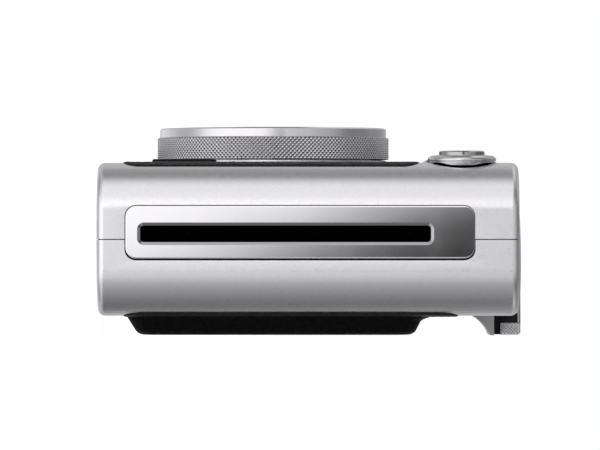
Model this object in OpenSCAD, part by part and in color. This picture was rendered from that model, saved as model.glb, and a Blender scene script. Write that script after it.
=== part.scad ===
// Instant camera with its film exit on one end: two shells, a knurled lens dial,
// a print lever on the top and a rear film door that carries the screen and keys.
// Millimetres. +Z is up, -Y is the lens side and +X is the film exit end.
// The origin is the centre of the tripod socket's mouth, on the bottom face.
// Depths are measured from the flat front face towards the back.

/* [Body] */
// Width of the two shells from end to end
body_w = 122.9; // [116:0.1:135]
// Height of the two shells
body_h = 87; // [84:0.5:100]
// Depth of the two shells, without the lens and the raised rear housing
body_d = 31.7; // [30.5:0.1:38]
// Plan radius of the four end corners
end_r = 9.7; // [7:0.1:11]
// Radius along the top and bottom edges
edge_r = 1.5; // [0.8:0.1:1.7]
// Wall of the shells
wall = 1.8; // [1.4:0.1:2]
// Gap between the front and the rear shell
seam_gap = 0.2; // [0.1:0.05:0.4]
// Thickness of the leatherette on the front
leather_t = 0.4; // [0.2:0.05:0.8]
// Height of the silver band under the leatherette
lower_band = 6; // [4:0.1:9]
// Height of the silver band over the front leatherette
upper_band = 20.4; // [19:0.1:23]

/* [Lens] */
// Distance of the lens axis below the middle of the front leatherette
lens_drop = 0.3; // [0:0.1:1]
// Radius of the knurled lens dial
dial_r = 25.15; // [23:0.05:26]
// Height of the knurled band
dial_h = 4.6; // [3:0.1:7]
// Radius of the smooth ring in front of the knurl
cap_r = 24.55; // [22.5:0.05:25]
// Height of the smooth ring
cap_h = 2.35; // [1.5:0.05:4]
// Height of the fixed base ring under the knurl
base_ring_h = 1.05; // [0.8:0.05:2]
// Radius of the lens barrel's bore
lens_bore_r = 6; // [4:0.1:7]

/* [Film path] */
// Height of the film pack above the bottom face
pack_low = 8.4; // [8.2:0.1:10]
// Room over the film pack, for the gears and the top controls
pack_room = 17.6; // [17.2:0.1:20]
// Depth of the film plane
film_depth = 14.45; // [13.8:0.05:15.5]
// How far the exit slot stops short of the pack's width at each end
slot_margin = 0.6; // [0.4:0.1:1.5]
// Width of the exit slot
slot_w = 3.4; // [2.4:0.1:3.8]
// Height of the silver band below the exit bezel
bezel_low = 5.9; // [5:0.1:7.5]
// Height of the silver band above the exit bezel
bezel_room = 9.2; // [7:0.1:11]
// Width of the exit bezel
bezel_w = 11.4; // [9:0.1:12]
// Corner radius of the exit bezel
bezel_r = 2.3; // [1.5:0.1:4]
// Radius of the spreading rollers
roller_r = 3.85; // [3.4:0.05:3.9]

/* [Front controls] */
// Radius of the collar round the front shutter button
front_collar_r = 7.1; // [6.6:0.1:7.4]
// Radius of the front shutter button
front_button_r = 4.75; // [3.5:0.05:5]
// Travel of both shutter buttons
shutter_travel = 1; // [0.5:0.1:1.2]
// Length of the power switch frame
switch_l = 13.4; // [11:0.1:16]
// Width of the power switch frame
switch_w = 6.4; // [5:0.1:8]
// Travel of the power slider
switch_travel = 3; // [2:0.1:3.6]
// Width of the flash window
flash_w = 20; // [16:0.5:22]
// Height of the flash window
flash_h = 9; // [6:0.5:10]
// Radius of the self-portrait mirror
mirror_r = 4.6; // [3:0.1:5]

/* [Top controls] */
// Radius of the collar round the top shutter button
top_collar_r = 7; // [6:0.1:7.5]
// Radius of the top shutter button
top_button_r = 4.8; // [3.5:0.1:5]
// Radius of the film effect dial
film_dial_r = 11.2; // [10:0.1:11.4]
// Height of the film effect dial above the top face
film_dial_rise = 1.2; // [0.6:0.1:2]
// Height of the print lever's upper side above the top face
lever_rise = 4.5; // [4:0.05:6]
// Thickness of the print lever's arm
lever_t = 0.75; // [0.6:0.05:1.2]
// How far the thumb shelf and the lever's tip stand behind the shells
thumb_rise = 5.8; // [5:0.1:7]
// Width between the accessory shoe's walls
shoe_w = 18.8; // [18.6:0.05:19]
// Height of the accessory shoe's slot
shoe_gap = 2.2; // [2.05:0.05:2.4]

/* [Rear door] */
// Depth of the raised rear housing behind the shells
rear_rise = 3.95; // [3.6:0.05:6]
// Thickness of the door plate
door_t = 2.5; // [2:0.1:3]
// Height of the silver band over the door
door_band = 13; // [12:0.1:16]
// Width of the screen window
screen_w = 66; // [60:0.5:67]
// Height of the screen window
screen_h = 50; // [44:0.5:51]
// Radius of the four-way pad
pad_r = 8; // [6.5:0.1:8.5]
// Radius of the round keys
key_r = 3; // [2.2:0.1:3.4]
// Radius of the confirm key
ok_r = 3; // [2.2:0.1:3.6]
// Radius of the hinge pin
pin_r = 0.8; // [0.6:0.05:1]

/* [Drive] */
// Module of the spur gears
gear_m = 0.5; // [0.5:0.005:0.51]
// Face width of the gears
gear_t = 2; // [1.5:0.1:2.2]
// Backlash between meshing teeth
backlash = 0.12; // [0.08:0.01:0.16]
// Radius of the motor
motor_r = 4.6; // [3.6:0.1:4.8]
// Length of the motor
motor_l = 18; // [12:0.5:22]

/* [Mounts] */
// Depth of the tripod axis behind the front face
tripod_depth = 8; // [7.5:0.1:8.5]
// Radius of the tripod socket, for a quarter-inch screw
tripod_r = 3.175; // [3.1:0.005:3.25]
// Depth of the tripod socket
tripod_l = 5.5; // [4:0.1:6]
// Radius of the strap eyelet's hole
eyelet_r = 2; // [1.5:0.1:2.5]

/* [Hidden] */
$fn = 64;
// A cut that has to pass right through a wall runs this far past it
past = 1;
// Running clearance of shafts, and the wider gap between pieces that pass each other
run = 0.06;
clear = 0.3;
// Clearance of an inlay in its cut-out, which shows as a dark line
inlay = 0.25;

y_front = -tripod_depth;
end_x = body_w / 2;
flat_x = end_x - end_r;
seam = body_d / 2;
cavity_x = end_x - wall;
leather_x = flat_x + 3.9;
leather_top = body_h - upper_band;
leather_r = 3;
lens_z = (lower_band + leather_top) / 2 - lens_drop;

// Lens stack, as heights in front of the front face
dial_low = base_ring_h + 0.15;
dial_high = dial_low + dial_h;
cap_high = dial_high + cap_h;
lens_hole_r = dial_r - 5.15;
barrel_r = lens_hole_r - clear;
sleeve_r = lens_hole_r + 1.4;
window_r = lens_bore_r + 3;
barrel_back = 8;

// Film path along X, from the pack to the exit
pack_high = body_h - pack_room;
pack_w = pack_high - pack_low;
film_z = (pack_low + pack_high) / 2;
slot_l = pack_w - 2 * slot_margin;
bezel_l = body_h - bezel_low - bezel_room;
bezel_z = bezel_low + bezel_l / 2;
bezel_depth = film_depth + 0.25;
bezel_t = 1.2;
collar_t = 1;
collar_in = 5.4;
roller_x = end_x - 11.45;
roller_gap = 0.3;
roller_l = pack_w - 2;
shaft_r = 1.5;
pack_x1 = roller_x - 8;
pack_x0 = -end_x + 11.45;
pack_front = film_depth - 1.45;
pack_back = body_d - door_t - 1.2;
film_w = pack_w - 7;
film_lead = 5;
midwall_front = pack_front - 1.1;
midwall_t = 0.8;
shelf_t = 1.6;
shelf_z = pack_high + clear;
floor_t = 1.4;
floor_z = wall + 0.1;
claw_low = film_z + 16;
claw_h = 8;

// Spur gears: teeth, places and the turn that puts each in mesh
roller_teeth = 16;
idler_teeth = 24;
small_teeth = 12;
large_teeth = 30;
pressure = 25;
addendum = 0.75;
dedendum = 1;
idler_dir = 168.5;
reduction_dir = 207.3;
pinion_dir = 240.3;
gear_z1 = shelf_z + shelf_t + 0.5;
gear_z2 = gear_z1 + gear_t + 0.4;
gear_pin_r = 1.2;
function pitch_r(teeth) = gear_m * teeth / 2;
function step_to(from, dir, a, b) =
    from + (pitch_r(a) + pitch_r(b)) * [cos(dir), sin(dir)];
function mesh_turn(dir, turn, a, b) = dir + 180 - 180 / b + (dir - turn) * a / b;
roller_off = pitch_r(roller_teeth);
rear_roller_at = [roller_x, film_depth + roller_off];
front_roller_at = [roller_x, film_depth - roller_off];
idler_at = step_to(rear_roller_at, idler_dir, roller_teeth, idler_teeth);
reduction_at = step_to(idler_at, reduction_dir, idler_teeth, small_teeth);
pinion_at = step_to(reduction_at, pinion_dir, large_teeth, small_teeth);
front_turn = mesh_turn(270, 0, roller_teeth, roller_teeth);
idler_turn = mesh_turn(idler_dir, 0, roller_teeth, idler_teeth);
reduction_turn = mesh_turn(reduction_dir, idler_turn, idler_teeth, small_teeth);
pinion_turn = mesh_turn(pinion_dir, reduction_turn, large_teeth, small_teeth);

// Boards and battery in front of the film chamber
board_t = 1.2;
board_x0 = -22;
board_x1 = 18;
board_low = tripod_l + 1.6;
chip_gap = 2.5;
chip_w = 12;
chip_h = 9;
chip_t = 1.2;
battery_past = 1.5;

// Front controls
button_x = flat_x - 2.85;
button_z = body_h - 11.5;
collar_rise = 1.65;
collar_round = 1.05;
collar_in_r = front_collar_r - 0.65;
collar_foot = 2.4;
boss_rise = 0.95;
boss_off = 1;
button_rise = 2.5;
button_foot = 0.6;
stem_r = 2;
stem_in = 4.2;
switch_x = flat_x - 11.7;
switch_z = lower_band + 11.65;
switch_rise = leather_t + 0.5;
slider_l = 6.2;
slider_w = switch_w - 2.8;
flash_x = -34;
flash_z = body_h - 9.5;
flash_back = 8.5;
mirror_x = -9;

// Top controls
plate_t = 2.8;
plate_x = flat_x + 3.5;
plate_front = 5;
plate_back = body_d - 5;
plate_r = 4;
flange_t = 1.2;
flange_z = body_h - plate_t - flange_t;
top_button_x = -29.5;
top_button_depth = 13;
dial_x = 28;
film_dial_depth = body_d - 0.1 - film_dial_r;
dial_floor = body_h - 4.1;
dial_floor_t = 1.4;
board_high = dial_floor - dial_floor_t - 0.5;
dial_pin_r = 2;
well_r = film_dial_r + 0.7;
shoe_front = 8.5;
shoe_wall = 1.2;
shoe_base = 0.8;
shoe_lip = 3;
shoe_lip_t = 1;
channel_w = shoe_w + 2 * shoe_wall + 0.6;
lever_x = 5.2 - flat_x;
lever_depth = 17.5;
lever_hub_r = 6.2;
lever_screw_r = 2;
lever_tip_x = lever_x + 4.3;
lever_tip_w = 9;
lever_tip_t = 2.7;
thumb_reach = body_d + thumb_rise;
rear_reach = body_d + rear_rise;
shelf_x0 = 0.25 - flat_x;
shelf_x1 = shelf_x0 + 18;
base_t = 1.35;
base_front = body_d - 4.2;
tip_t = 1.2;
hollow_r = thumb_rise + 2.3;
hollow_depth = body_d + 0.8 + hollow_r;
hollow_z = body_h - base_t - tip_t - sqrt(hollow_r * hollow_r - pow(hollow_depth - thumb_reach, 2));

// Rear door: the plate, the raised housing on it and the hinge
door_low = lower_band + 0.2;
door_high = body_h - door_band - 0.2;
door_r = 3;
door_in = body_d - door_t;
hinge_x = -flat_x - 5.05;
hinge_depth = body_d - 0.7;
knuckle_r = 1.7;
door_x0 = hinge_x + knuckle_r + 0.5;
door_x1 = flat_x + 3.6;
knuckle_low = pack_low + 3.5;
knuckle_high = pack_high - 1.5;
knuckle_l = 10;
house_x0 = -flat_x + 5;
house_x1 = flat_x + 0.6;
house_low = lower_band + 0.3;
house_high = pack_high - 1.6;
slope = 3.2;
house_wall = 1.4;
flange_rise = 0.4;
screen_x1 = house_x1 - slope - 1.9;
screen_x0 = screen_x1 - screen_w;
screen_z = (house_low + house_high) / 2;
glass_t = 1;
keys_x = (house_x0 + slope + screen_x0) / 2;
board_back = body_d + 1.2;
key_rise = 0.6;
key_flange = 0.5;
key_travel = 0.3;
ok_flange = 0.8;
key_gap = 0.08;
key_top_z = screen_z + 18.5;
key_low_z = screen_z - 18.5;
key_step = 5.2;

// Small mounts and the port cover on the plain end
port_z = film_z - 8;
port_l = 26;
port_w = 9;
port_t = 1.2;
port_r = 1.2;
port_axis_in = 0.6;
port_pin_r = 0.5;
eyelet_z = body_h - 15;
eyelet_rim = 1.2;
eyelet_t = 2;
eyelet_out = eyelet_r + 0.3;
eyelet_neck = 4.4;
screw_head_r = 1.7;
screw_r = 0.8;
screw_x = flat_x - 5.8;
screw_in = 5;
latch_x = flat_x - 20;
latch_l = 12;
latch_w = 4;
latch_travel = 3;
latch_depth = body_d - 6;

silver = "silver";
black = "#1c1c1e";
steel = "#8f9296";
brass = "#b8954a";
board_green = "#2f6b46";

// Shapes that repeat

// A block from ranges along X, depth and Z
module block(x, d, z) {
    translate([x[0], y_front + d[0], z[0]])
        cube([x[1] - x[0], d[1] - d[0], z[1] - z[0]]);
}

// An upright cylinder at a place [x, depth]
module post(at, r, z0, z1) {
    translate([at[0], y_front + at[1], z0])
        cylinder(r = r, h = z1 - z0);
}

// A cylinder along the depth, at x and z
module depth_disc(x, z, r, d0, d1) {
    translate([x, y_front + d1, z])
        rotate([90, 0, 0])
            cylinder(r = r, h = d1 - d0);
}

// A flat outline in X and Z, drawn out along the depth
module through_depth(d0, d1) {
    translate([0, y_front + d1, 0])
        rotate([90, 0, 0])
            linear_extrude(d1 - d0)
                children();
}

// A flat outline in depth and Z, drawn out along X
module along_x(x0, x1) {
    translate([x0, y_front, 0])
        rotate([90, 0, 90])
            linear_extrude(x1 - x0)
                children();
}

// A flat outline in X and depth, drawn out upwards
module upright(z0, z1) {
    translate([0, y_front, z0])
        linear_extrude(z1 - z0)
            children();
}

// A profile of radius and height, turned about an axis that points forwards
module front_turned(x, z) {
    translate([x, y_front, z])
        rotate([90, 0, 0])
            rotate_extrude()
                children();
}

// A profile of radius and height, turned about an upright axis
module top_turned(at, z) {
    translate([at[0], y_front + at[1], z])
        rotate_extrude()
            children();
}

module rounded_rect(w, h, r) {
    square([w - 2 * r, h], center = true);
    square([w, h - 2 * r], center = true);
    for (sx = [-1, 1], sy = [-1, 1])
        translate([sx * (w / 2 - r), sy * (h / 2 - r)])
            circle(r);
}

// A rounded rectangle between two ranges
module rounded_span(a, b, r) {
    translate([(a[0] + a[1]) / 2, (b[0] + b[1]) / 2])
        rounded_rect(a[1] - a[0], b[1] - b[0], r);
}

// A ring profile with its upper outer corner rounded
module ring_profile(r_in, r_out, h0, h1, round_r) {
    translate([r_in, h0])
        square([r_out - r_in, h1 - h0 - round_r]);
    translate([r_in, h0])
        square([r_out - r_in - round_r, h1 - h0]);
    translate([r_out - round_r, h1 - round_r])
        circle(round_r);
}

// A disc's profile with a domed front at height h, of radius r and thickness t
module dome_profile(r, dome_r, h, t) {
    intersection() {
        translate([0, h - t])
            square([r, t]);
        translate([0, h - dome_r])
            circle(dome_r, $fn = 360);
    }
}

// Half angle of a gear tooth at radius r, in degrees
function involute(angle) = tan(angle) * 180 / PI - angle;
function half_tooth(teeth, r) =
    let (rp = pitch_r(teeth), rb = rp * cos(pressure))
    90 / teeth - backlash / 2 / rp * 180 / PI + involute(pressure)
        - (r > rb ? involute(acos(rb / r)) : 0);

// A spur gear's outline with involute flanks
module gear_outline(teeth, turn, bore) {
    rp = pitch_r(teeth);
    ra = rp + addendum * gear_m;
    rr = rp - dedendum * gear_m;
    steps = 4;
    radii = [for (k = [0:steps]) rr + (ra - rr) * k / steps];
    difference() {
        polygon([
            for (i = [0:teeth - 1], side = [-1, 1], k = [0:steps])
                let (r = radii[side < 0 ? k : steps - k],
                     a = turn + i * 360 / teeth + side * half_tooth(teeth, r))
                r * [cos(a), sin(a)]
        ]);
        circle(bore);
    }
}

module gear(at, teeth, turn, bore, z) {
    translate([at[0], y_front + at[1], z])
        linear_extrude(gear_t)
            gear_outline(teeth, turn, bore);
}

// The outer form of the two shells together, grown by g
module body_form(g = 0) {
    w = body_w + 2 * g;
    d = body_d + 2 * g;
    h = body_h + 2 * g;
    r = end_r + g;
    e = max(edge_r + g, 0.3);
    translate([0, y_front + seam, body_h / 2]) {
        rotate([90, 0, 90])
            linear_extrude(w - 2 * r, center = true)
                rounded_rect(d, h, e);
        rotate([90, 0, 0])
            linear_extrude(d - 2 * r, center = true)
                rounded_rect(w, h, e);
        for (sx = [-1, 1], sy = [-1, 1])
            translate([sx * (w / 2 - r), sy * (d / 2 - r), 0])
                rotate_extrude()
                    intersection() {
                        rounded_rect(2 * r, h, e);
                        translate([0, -h / 2])
                            square([r, h]);
                    }
    }
}

module shell() {
    difference() {
        body_form();
        body_form(-wall);
    }
}

module bezel_outline(g = 0) {
    translate([bezel_depth, bezel_z])
        rounded_rect(bezel_w + 2 * g, bezel_l + 2 * g, bezel_r + g);
}

module slot_outline(g = 0) {
    translate([film_depth, film_z])
        rounded_rect(slot_w + 2 * g, slot_l + 2 * g, 0.6 + g);
}

module door_outline(g = 0) {
    rounded_span([door_x0 - g, door_x1 + g], [door_low - g, door_high + g], door_r + g);
}

module film_dial_well(r) {
    post([dial_x, film_dial_depth], r, dial_floor, body_h + film_dial_rise + past);
}

module shoe_channel() {
    block([-channel_w / 2, channel_w / 2], [shoe_front - clear, body_d + past],
          [flange_z + flange_t, body_h + past]);
}

module port_outline(g = 0) {
    rounded_span([seam - port_w / 2 - g, seam + port_w / 2 + g],
                 [port_z - port_l / 2 - g, port_z + port_l / 2 + g], max(port_r + g, 0.5));
}

port_axis = [-end_x + port_t / 2, seam - port_w / 2 + port_axis_in];

// Cut-outs that cross the seam, so both shells have them
module shell_cuts() {
    along_x(end_x - bezel_t, end_x + past)
        bezel_outline(inlay);
    along_x(cavity_x - past, end_x)
        slot_outline(collar_t + inlay);
    upright(body_h - wall - past, body_h + past)
        rounded_span([-plate_x - 0.1, plate_x + 0.1], [plate_front - 0.1, plate_back + 0.1], plate_r);
    film_dial_well(well_r);
    shoe_channel();
    along_x(-end_x - past, -end_x + port_t)
        port_outline(inlay);
    along_x(-end_x, -cavity_x + past)
        port_outline(-2);
    block([-end_x - past, -cavity_x + past], [seam - eyelet_t / 2, seam + eyelet_t / 2],
          [eyelet_z - eyelet_neck / 2, eyelet_z + eyelet_neck / 2]);
    for (x = [-screw_x, screw_x], d = [screw_in, body_d - screw_in])
        cover_screw([x, d]);
}

module cover_screw(at) {
    post(at, screw_head_r, 0.2, 1.1);
    post(at, screw_r, 1.1, floor_z + floor_t + 2);
}

// Shells and coverings

// A low cone under the front button's collar, set off towards the leatherette
module button_boss() {
    front_turned(button_x, button_z - boss_off)
        polygon([
            [0, -wall / 2],
            [front_collar_r + 0.5, -wall / 2],
            [front_collar_r + 0.5, 0],
            [front_collar_r - 0.5, boss_rise],
            [0, boss_rise]
        ]);
}

module front_cover() {
    color(silver)
        difference() {
            union() {
                intersection() {
                    shell();
                    block([-body_w, body_w], [-past, seam - seam_gap / 2], [-past, body_h + past]);
                }
                button_boss();
            }
            shell_cuts();
            for (at = [-screw_x, screw_x])
                post([at, screw_in], screw_head_r, -past, 0.2);
            depth_disc(0, lens_z, lens_hole_r, -past, wall + past);
            depth_disc(button_x, button_z, front_collar_r + 0.2, -boss_rise - past, 0);
            depth_disc(button_x, button_z, collar_in_r + clear + 0.2, -past, 1);
            depth_disc(button_x, button_z, collar_in_r, -past, 2 * wall);
            through_depth(-past, wall + past)
                rounded_span([switch_x - switch_w / 2, switch_x + switch_w / 2],
                             [switch_z - switch_l / 2, switch_z + switch_l / 2], 1.5);
            through_depth(-past, wall + past)
                rounded_span([flash_x - flash_w / 2, flash_x + flash_w / 2],
                             [flash_z - flash_h / 2, flash_z + flash_h / 2], 1.2);
            depth_disc(mirror_x, flash_z, mirror_r, -past, 1);
            post([0, tripod_depth], tripod_r + 2, -past, wall + past);
            post(port_axis, port_t / 2 + 0.35, port_z - port_l / 2, port_z + port_l / 2);
            post(port_axis, port_pin_r + run, port_z - port_l / 2 - 1, port_z + port_l / 2 + 1);
        }
}

module hinge_post(r, z0, z1) {
    post([hinge_x, hinge_depth], r, z0, z1);
}

// The ledge behind the top right corner that the thumb rests on, with a hollow underside
module thumb_shelf() {
    difference() {
        block([shelf_x0, shelf_x1], [body_d - wall / 2, thumb_reach], [hollow_z, body_h - base_t]);
        along_x(shelf_x0 - past, shelf_x1 + past)
            translate([hollow_depth, hollow_z])
                circle(hollow_r, $fn = 128);
    }
}

module rear_cover() {
    color(silver)
        difference() {
            union() {
                intersection() {
                    shell();
                    block([-body_w, body_w], [seam + seam_gap / 2, body_d + past],
                          [-past, body_h + past]);
                }
                thumb_shelf();
                for (z = [knuckle_low, knuckle_high - knuckle_l]) {
                    hinge_post(knuckle_r, z, z + knuckle_l);
                    block([hinge_x - knuckle_r, hinge_x + 0.2], [hinge_depth - 3, hinge_depth],
                          [z, z + knuckle_l]);
                }
            }
            shell_cuts();
            for (at = [-screw_x, screw_x])
                post([at, body_d - screw_in], screw_head_r, -past, 0.2);
            through_depth(body_d - wall - past, body_d + past)
                door_outline(inlay);
            hinge_post(knuckle_r + clear, knuckle_low + knuckle_l, knuckle_high - knuckle_l);
            block([hinge_x, door_x0], [hinge_depth - 1.2, body_d + past],
                  [knuckle_low + knuckle_l, knuckle_high - knuckle_l]);
            hinge_post(pin_r, knuckle_low - past, knuckle_high + past);
            block([shelf_x0 - 0.1, shelf_x1 + 0.1], [base_front - 0.1, thumb_reach + past],
                  [body_h - base_t, body_h + past]);
            block([latch_x - latch_l / 2, latch_x + latch_l / 2],
                  [latch_depth - latch_w / 2, latch_depth + latch_w / 2], [-past, wall + past]);
        }
}

module top_plate() {
    color(silver)
        difference() {
            upright(body_h - plate_t, body_h)
                rounded_span([-plate_x, plate_x], [plate_front, plate_back], plate_r - 0.1);
            film_dial_well(well_r);
            shoe_channel();
            post([top_button_x, top_button_depth], stem_r + run, body_h - plate_t - past, body_h + past);
            post([lever_x, lever_depth], lever_screw_r, body_h - plate_t - past, body_h + past);
        }
}

module front_leatherette() {
    color(black)
        difference() {
            intersection() {
                difference() {
                    body_form(leather_t);
                    body_form();
                }
                through_depth(-past, seam / 2)
                    rounded_span([-leather_x, leather_x], [lower_band, leather_top], leather_r);
            }
            depth_disc(0, lens_z, cap_r + 0.2, -past, wall);
            through_depth(-past, wall)
                rounded_span([switch_x - switch_w / 2, switch_x + switch_w / 2],
                             [switch_z - switch_l / 2, switch_z + switch_l / 2], 1.5);
        }
}

module exit_bezel() {
    color("#c9cacd")
        difference() {
            union() {
                along_x(end_x - bezel_t, end_x + 0.05)
                    bezel_outline();
                along_x(end_x - collar_in, end_x - bezel_t)
                    slot_outline(collar_t);
            }
            along_x(end_x - collar_in - past, end_x + past)
                slot_outline();
        }
}

// Two felt strips on the inner end of the bezel's collar, with the film between them
module exit_light_seal() {
    color(black)
        for (side = [-1, 1])
            translate([0, side * (slot_w / 2 - 0.1), 0])
                block([end_x - collar_in - 1.5, end_x - collar_in],
                      [film_depth - 0.9, film_depth + 0.9],
                      [film_z - slot_l / 2, film_z + slot_l / 2]);
}

// Lens

module lens_base_ring() {
    color(silver)
        front_turned(0, lens_z) {
            translate([lens_hole_r, 0])
                square([cap_r - lens_hole_r, base_ring_h]);
            translate([lens_hole_r, 0])
                square([sleeve_r - lens_hole_r, dial_high - 0.2]);
        }
}

module lens_dial() {
    color("#b4b5b8")
        front_turned(0, lens_z)
            translate([sleeve_r + run, dial_low])
                square([dial_r - sleeve_r - run, dial_h]);
}

module lens_dial_cap() {
    color(silver)
        front_turned(0, lens_z)
            ring_profile(lens_hole_r, cap_r, dial_high, cap_high, 0.8);
}

module lens_barrel() {
    color(black)
        front_turned(0, lens_z)
            polygon([
                [lens_bore_r, -barrel_back],
                [barrel_r, -barrel_back + 4],
                [barrel_r, -wall - 1.2],
                [barrel_r + 2.5, -wall - 1.2],
                [barrel_r + 2.5, -wall],
                [barrel_r, -wall],
                [barrel_r, cap_high - 0.7],
                [barrel_r - 1, cap_high - 0.7],
                [window_r + 0.8, cap_high - 4.2],
                [window_r, cap_high - 4.2],
                [window_r, cap_high - 6],
                [lens_bore_r, cap_high - 6]
            ]);
}

module lens_window() {
    color("#30343c")
        front_turned(0, lens_z)
            translate([0, cap_high - 6])
                square([window_r, 1.4]);
}

// Two lenses in the bore, each rounded on its front
module lens_elements() {
    color("lightblue")
        for (front = [0.8, -3.4])
            front_turned(0, lens_z)
                dome_profile(lens_bore_r, 3 * lens_bore_r, front, 2.4);
}

module sensor_board() {
    color(board_green) {
        block([-7, 7], [barrel_back, barrel_back + 1], [lens_z - 7, lens_z + 7]);
        block([-3.2, 3.2], [barrel_back - 1, barrel_back], [lens_z - 2.4, lens_z + 2.4]);
    }
}

// Front controls

module front_button_collar() {
    bore = front_button_r + run;
    round_at = front_collar_r - collar_round;
    color(silver)
        front_turned(button_x, button_z) {
            translate([bore, -collar_foot])
                square([round_at - bore, collar_foot + collar_rise]);
            translate([bore, -collar_foot])
                square([collar_in_r - bore, collar_foot + 0.2]);
            translate([round_at, collar_rise - collar_round])
                circle(collar_round);
        }
}

module front_shutter_button() {
    color(silver)
        front_turned(button_x, button_z) {
            translate([0, -collar_foot - 0.2])
                ring_profile(0, front_button_r, 0, collar_foot + 0.2 + button_rise, 0.4);
            translate([0, -collar_foot - 0.2 - button_foot])
                square([front_button_r + 0.7, button_foot]);
        }
}

module power_switch_frame() {
    color(black)
        difference() {
            through_depth(-switch_rise, wall)
                rounded_span([switch_x - switch_w / 2, switch_x + switch_w / 2],
                             [switch_z - switch_l / 2, switch_z + switch_l / 2], 1.5);
            through_depth(-switch_rise - past, wall - 0.3)
                rounded_span([switch_x - slider_w / 2 - run, switch_x + slider_w / 2 + run],
                             [switch_z - switch_l / 2 + 1.4, switch_z + switch_l / 2 - 1.4], 0.8);
        }
}

module power_slider() {
    slider_low = switch_z - switch_l / 2 + 1.6;
    color("#2b2c2f")
        difference() {
            through_depth(-switch_rise, wall - 0.4)
                rounded_span([switch_x - slider_w / 2, switch_x + slider_w / 2],
                             [slider_low, slider_low + slider_l], 0.7);
            for (k = [1:3])
                block([switch_x - slider_w, switch_x + slider_w], [-switch_rise - past, 0.3 - switch_rise],
                      [slider_low + k * slider_l / 4 - 0.3, slider_low + k * slider_l / 4 + 0.3]);
        }
}

module flash_window() {
    color("#e8e6dc")
        through_depth(-0.2, wall)
            rounded_span([flash_x - flash_w / 2 + 0.1, flash_x + flash_w / 2 - 0.1],
                         [flash_z - flash_h / 2 + 0.1, flash_z + flash_h / 2 - 0.1], 1.1);
}

// A trough behind the flash window, with the flash tube across it
module flash_reflector() {
    color("#d8d8d8") {
        difference() {
            block([flash_x - flash_w / 2 + 1, flash_x + flash_w / 2 - 1], [wall, flash_back],
                  [flash_z - flash_h / 2 + 0.6, flash_z + flash_h / 2 - 0.6]);
            block([flash_x - flash_w / 2 + 2, flash_x + flash_w / 2 - 2], [wall - past, flash_back - 1],
                  [flash_z - flash_h / 2 + 1.6, flash_z + flash_h / 2 - 1.6]);
        }
        translate([flash_x - flash_w / 2 + 1.5, y_front + flash_back - 3, flash_z])
            rotate([0, 90, 0])
                cylinder(r = 1.1, h = flash_w - 3);
    }
}

// A mirror with a domed face, set into the front shell
module selfie_mirror() {
    color("#d9dde2")
        front_turned(mirror_x, flash_z)
            dome_profile(mirror_r - 0.1, 4 * mirror_r, 0.45, 1.45);
}

// Top controls

module top_button_collar() {
    color(silver)
        top_turned([top_button_x, top_button_depth], body_h)
            ring_profile(top_button_r + run, top_collar_r, 0, collar_rise, 0.7);
}

module top_shutter_button() {
    color(silver)
        top_turned([top_button_x, top_button_depth], body_h) {
            translate([0, shutter_travel + 0.2])
                ring_profile(0, top_button_r, 0, button_rise + 0.4 - shutter_travel, 0.4);
            translate([0, -stem_in])
                square([stem_r, stem_in + shutter_travel + 0.3]);
        }
}

lever_at = [lever_x, lever_depth];
lever_z1 = body_h + lever_rise;
lever_z0 = lever_z1 - lever_t;

// The lever's plan: a round hub and an arm that narrows to the finger tip
module lever_plan(hub_r, reach, half_tip) {
    translate(lever_at)
        circle(hub_r);
    polygon([
        [lever_x - hub_r * cos(10), lever_depth + hub_r * sin(10)],
        [lever_x + hub_r * cos(20), lever_depth - hub_r * sin(20)],
        [lever_tip_x + half_tip, reach],
        [lever_tip_x - half_tip, reach]
    ]);
}

module print_lever() {
    color("#b4b5b8")
        difference() {
            union() {
                upright(lever_z0, lever_z1)
                    lever_plan(lever_hub_r + 0.4, thumb_reach, lever_tip_w / 2);
                block([lever_tip_x - lever_tip_w / 2, lever_tip_x + lever_tip_w / 2],
                      [thumb_reach - lever_tip_t, thumb_reach], [body_h + clear, lever_z1]);
            }
            post(lever_at, lever_screw_r + 1.5 + run, lever_z0 - past, lever_z1 + past);
        }
}

module lever_hub() {
    color(black)
        difference() {
            upright(body_h + clear, lever_z0)
                lever_plan(lever_hub_r, thumb_reach - lever_tip_t, lever_tip_w / 2 - 0.4);
            post(lever_at, lever_screw_r + run, body_h - past, lever_z1);
        }
}

module lever_base() {
    color(black)
        block([shelf_x0, shelf_x1], [base_front, thumb_reach], [body_h - base_t, body_h]);
}

module lever_screw() {
    color(steel)
        difference() {
            union() {
                post(lever_at, lever_screw_r, flange_z, lever_z0 + 0.05);
                post(lever_at, lever_screw_r + 1.5, lever_z0 + 0.05, lever_z1);
            }
            block([lever_x - 2.4, lever_x + 2.4], [lever_depth - 0.35, lever_depth + 0.35],
                  [lever_z1 - 0.4, lever_z1 + past]);
        }
}

module film_dial() {
    dial_low_z = dial_floor + clear;
    color("#b4b5b8")
        difference() {
            top_turned([dial_x, film_dial_depth], dial_low_z)
                ring_profile(0, film_dial_r, 0, body_h + film_dial_rise - dial_low_z, 0.5);
            post([dial_x, film_dial_depth], dial_pin_r + run, dial_low_z - past, dial_low_z + 3.2);
        }
}

module accessory_shoe() {
    base_z = flange_z + flange_t;
    half = shoe_w / 2 + shoe_wall;
    slot_top = base_z + shoe_base + shoe_gap;
    color(steel)
        difference() {
            block([-half, half], [shoe_front, plate_back], [base_z, slot_top + shoe_lip_t]);
            block([-shoe_w / 2, shoe_w / 2], [shoe_front + 1.2, plate_back + past],
                  [base_z + shoe_base, slot_top]);
            block([shoe_lip - shoe_w / 2, shoe_w / 2 - shoe_lip], [shoe_front + 1.2, plate_back + past],
                  [slot_top - past, slot_top + shoe_lip_t + past]);
        }
}

// Mounts and fasteners

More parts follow.
